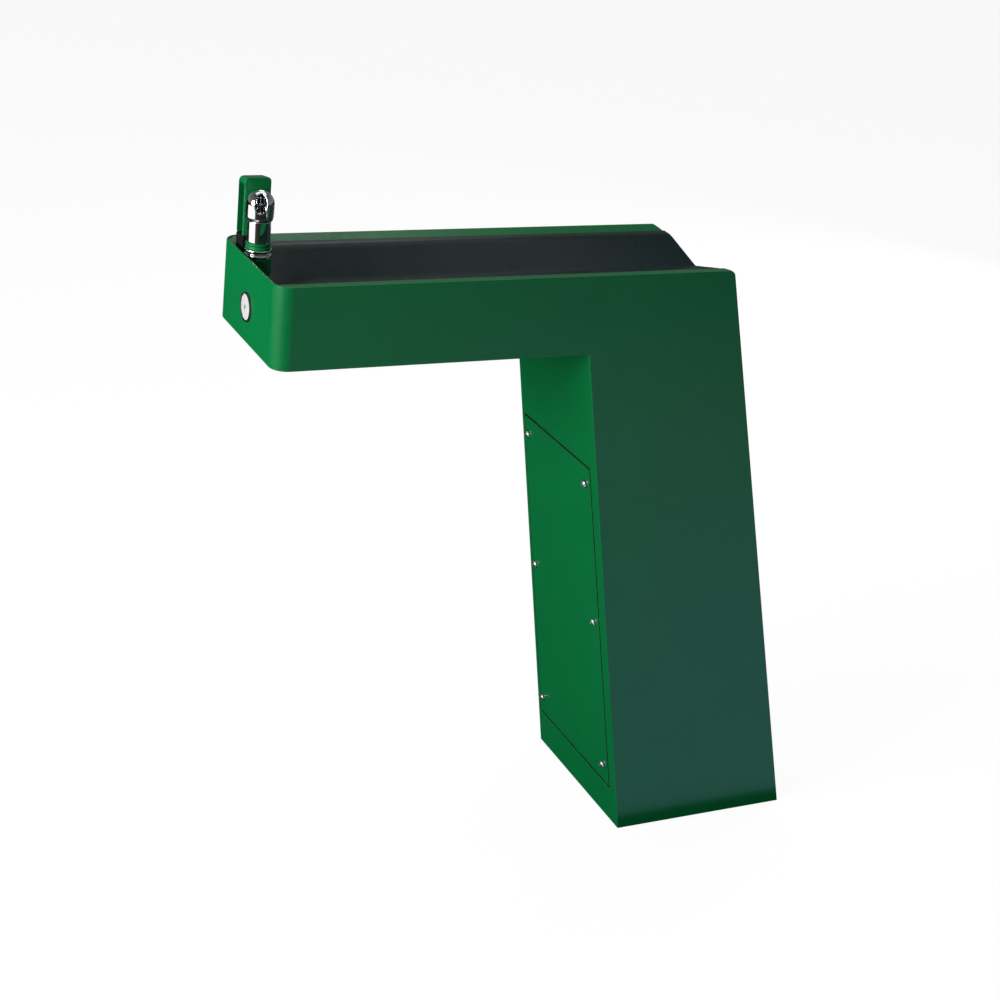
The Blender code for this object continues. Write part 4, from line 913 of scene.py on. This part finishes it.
# ---------------------------------------------------------------- push button
def push_button():
    """Dished satin button with a dot in its middle, and the black ring round it, whose black also paints
    the shadow gap round the button.
    """
    face = BUTTON_LOW.x
    boss, stem_end = 9 * MM, BUTTON_HIGH.x - face
    rim = BUTTON_RADIUS
    front = [(0, 0.5 * MM), (2.3 * MM, 0.5 * MM), (2.5 * MM, 0.15 * MM), (6 * MM, 0.1 * MM)]
    front += [(rim - 1.5 * MM, 0.35 * MM), (rim - 0.4 * MM, 0.6 * MM), (rim, 1.2 * MM)]
    back = [(rim, 3 * MM), (9.5 * MM, 3 * MM), (9.5 * MM, boss), (4 * MM, boss)]
    profile = front + back + [(4 * MM, stem_end), (0, stem_end)]
    button = turned("button_cap", profile, (face, 0, BUTTON_Z), (1, 0, 0), BUTTON)
    housed(smooth(button), "chrome", "push_button", body="push_button")
    dot = [(0, 0.2 * MM), (2.2 * MM, 0.2 * MM), (2.2 * MM, 0.9 * MM), (0, 0.9 * MM)]
    centre = turned("button_dot", dot, (face, 0, BUTTON_Z), (1, 0, 0), BLACK, 32)
    housed(smooth(centre), "black_plastic", body="push_button")
    # Painted shade: the ring's black stands in for the shadow gap round the button as well as the black
    # plastic bezel.
    low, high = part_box("button_bezel")
    outer = (high.y - low.y) / 2
    inner = BUTTON_RADIUS + 0.3 * MM
    sleeve = 17.6 * MM
    ring = [(inner, low.x + 0.3 * MM), (outer - 1 * MM, low.x), (outer, USER_X - 0.6 * MM)]
    ring += [(outer, USER_X - 0.1 * MM), (sleeve, USER_X - 0.1 * MM), (sleeve, high.x), (inner, high.x)]
    bezel = turned("bezel_ring_and_painted_shade", soften(ring, 0.5 * MM), (0, 0, BUTTON_Z), (1, 0, 0), BLACK)
    housed(smooth(bezel), "black_plastic", "button_bezel")


def return_spring():
    """Coil behind the button."""
    low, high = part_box("button_spring")
    wire, turns, steps = 0.6 * MM, 3, 32
    coil = (high.y - low.y) / 2 - wire
    start, end = low.x + wire, high.x - wire
    points = []
    for k in range(turns * steps + 1):
        angle = 2 * pi * k / steps
        x = start + (end - start) * k / (turns * steps)
        points.append(Vector((x, coil * cos(angle), BUTTON_Z + coil * sin(angle))))
    spring = housed(smooth_bar("return_spring", points, wire, ZINC, False), "zinc_steel", "button_spring")
    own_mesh(spring)


# ---------------------------------------------------------------- stage, light and camera
WORLD_STRENGTH = 0.25
FLOOR_REACH = 30.0


def stage_material(name, seen, bounced, glow):
    """Pale floor: how bright it looks, and how much light it throws back on the object."""
    made = bpy.data.materials.new(name)
    made.use_nodes = True
    tree = made.node_tree
    tree.nodes.clear()
    output = tree.nodes.new("ShaderNodeOutputMaterial")
    mix = tree.nodes.new("ShaderNodeMixShader")
    path = tree.nodes.new("ShaderNodeLightPath")
    tree.links.new(path.outputs["Is Camera Ray"], mix.inputs[0])
    for number, value, light in ((1, bounced, 0.0), (2, seen, glow)):
        paint = tree.nodes.new("ShaderNodeBsdfPrincipled")
        paint.inputs["Base Color"].default_value = (value, value, value, 1)
        paint.inputs["Roughness"].default_value = 0.9
        paint.inputs["Specular IOR Level"].default_value = 0.0
        paint.inputs["Emission Color"].default_value = (1, 1, 1, 1)
        paint.inputs["Emission Strength"].default_value = light
        tree.links.new(paint.outputs[0], mix.inputs[number])
    tree.links.new(mix.outputs[0], output.inputs["Surface"])
    return made


def floor():
    """Wide round floor at the foot of the fountain."""
    ring = [(FLOOR_REACH * cos(a), FLOOR_REACH * sin(a), 0) for a in arc_angles(0, 360 - 5, 71)]
    mesh = bpy.data.meshes.new("studio_floor")
    mesh.from_pydata(ring, [], [tuple(range(len(ring)))])
    obj = bpy.data.objects.new("studio_floor", mesh)
    bpy.context.scene.collection.objects.link(obj)
    mesh.materials.append(stage_material("floor_paint", 0.12, 0.04, 0.93))


def world():
    """Soft studio surround: bright low down all round, dimmer overhead."""
    made = bpy.data.worlds.new("studio")
    bpy.context.scene.world = made
    made.use_nodes = True
    tree = made.node_tree
    tree.nodes.clear()
    output = tree.nodes.new("ShaderNodeOutputWorld")
    lit, seen = (tree.nodes.new("ShaderNodeBackground") for _ in range(2))
    mix = tree.nodes.new("ShaderNodeMixShader")
    path = tree.nodes.new("ShaderNodeLightPath")
    place = tree.nodes.new("ShaderNodeTexCoord")
    split = tree.nodes.new("ShaderNodeSeparateXYZ")
    ramp = tree.nodes.new("ShaderNodeValToRGB")
    tree.links.new(place.outputs["Generated"], split.inputs[0])
    tree.links.new(split.outputs["Z"], ramp.inputs[0])
    stops = ramp.color_ramp.elements
    stops[0].position, stops[0].color = 0.0, (0.75, 0.78, 0.8, 1)
    stops[1].position, stops[1].color = 0.85, (0.18, 0.2, 0.21, 1)
    tree.links.new(ramp.outputs[0], lit.inputs["Color"])
    lit.inputs["Strength"].default_value = WORLD_STRENGTH
    seen.inputs["Color"].default_value = (1, 1, 1, 1)
    seen.inputs["Strength"].default_value = 1.0
    tree.links.new(path.outputs["Is Camera Ray"], mix.inputs[0])
    tree.links.new(lit.outputs[0], mix.inputs[1])
    tree.links.new(seen.outputs[0], mix.inputs[2])
    tree.links.new(mix.outputs[0], output.inputs["Surface"])


LIGHTS = (
    # name, place, looks at, sides, power, colour, lights matt surfaces, shows in reflections
    ("key_softbox", (-3.4, -0.75, 1.35), (-0.5, 0, 0.6), (2.0, 1.6), 122, (1.0, 0.99, 0.97), True, True),
    ("top_softbox", (-0.3, 0.4, 3.2), (-0.3, 0, 0.4), (2.6, 2.6), 20, (1.0, 1.0, 1.0), True, True),
    ("rear_strip", (0.5, 3.0, 3.0), (-0.4, 0, 0.8), (1.2, 1.6), 7, (1.0, 1.0, 1.0), True, True),
    ("rear_fill", (2.6, 1.8, 1.3), (0, 0, 0.5), (1.6, 1.6), 36, (1.0, 1.0, 1.0), True, False),
    ("user_card", (-2.4, -0.1, 0.01), (-2.4, -0.1, 1.0), (1.2, 2.8), 12, (1.0, 1.0, 1.0), True, False),
    ("user_mirror", (-3.7, 0.3, 0.01), (-3.7, 0.3, 1.0), (1.4, 3.8), 18, (1.0, 1.0, 1.0), False, True),
    ("near_card", (-1.1, -0.7, 0.01), (-1.1, -0.7, 1.0), (1.3, 1.1), 3, (1.0, 1.0, 1.0), False, True),
    ("back_card", (0.9, 1.3, 0.01), (0.9, 1.3, 1.0), (1.6, 2.0), 12, (1.0, 1.0, 1.0), False, True),
    ("foot_card", (0.55, -0.75, 0.01), (0.55, -0.75, 1.0), (1.6, 1.2), 10, (0.45, 0.5, 1.0), False, True),
    ("front_card", (0.3, -1.9, 0.01), (0.3, -1.9, 1.0), (2.2, 1.0), 12, (0.7, 0.6, 1.0), False, True),
)


def lights():
    for name, place, aim, sides, power, colour, lights_matt, reflected in LIGHTS:
        data = bpy.data.lights.new(name, "AREA")
        data.shape = "RECTANGLE"
        data.size, data.size_y = sides
        data.energy = power
        data.color = colour
        lamp = bpy.data.objects.new(name, data)
        bpy.context.scene.collection.objects.link(lamp)
        lamp.location = place
        lamp.rotation_mode = "QUATERNION"
        lamp.rotation_quaternion = (Vector(aim) - Vector(place)).to_track_quat("-Z", "Y")
        lamp.visible_camera = False
        lamp.visible_diffuse = lights_matt
        lamp.visible_glossy = reflected


def camera():
    data = bpy.data.cameras.new("camera")
    data.lens = CAMERA_LENS
    data.sensor_width = 36
    obj = bpy.data.objects.new("camera", data)
    bpy.context.scene.collection.objects.link(obj)
    azimuth, elevation = CAMERA_AZIMUTH, CAMERA_ELEVATION
    back = Vector((sin(azimuth) * cos(elevation), -cos(azimuth) * cos(elevation), sin(elevation)))
    right = (-back).cross(Vector((0, 0, 1))).normalized()
    up = back.cross(right)
    rolled_right = right * cos(CAMERA_ROLL) + up * sin(CAMERA_ROLL)
    rolled_up = up * cos(CAMERA_ROLL) - right * sin(CAMERA_ROLL)
    turn = Matrix((rolled_right, rolled_up, back)).transposed().to_4x4()
    obj.matrix_world = Matrix.Translation(CAMERA_TARGET + back * CAMERA_DISTANCE) @ turn
    bpy.context.scene.camera = obj


camera()
lights()
world()
floor()
bpy.context.scene.view_settings.view_transform = "Standard"
dress_cad_nodes()
housing_shell()
access_panel()
panel_screws()
basin()
strainer()
guard()
guard_pad()
bubbler_head()
bubbler_stack()
push_button()
return_spring()
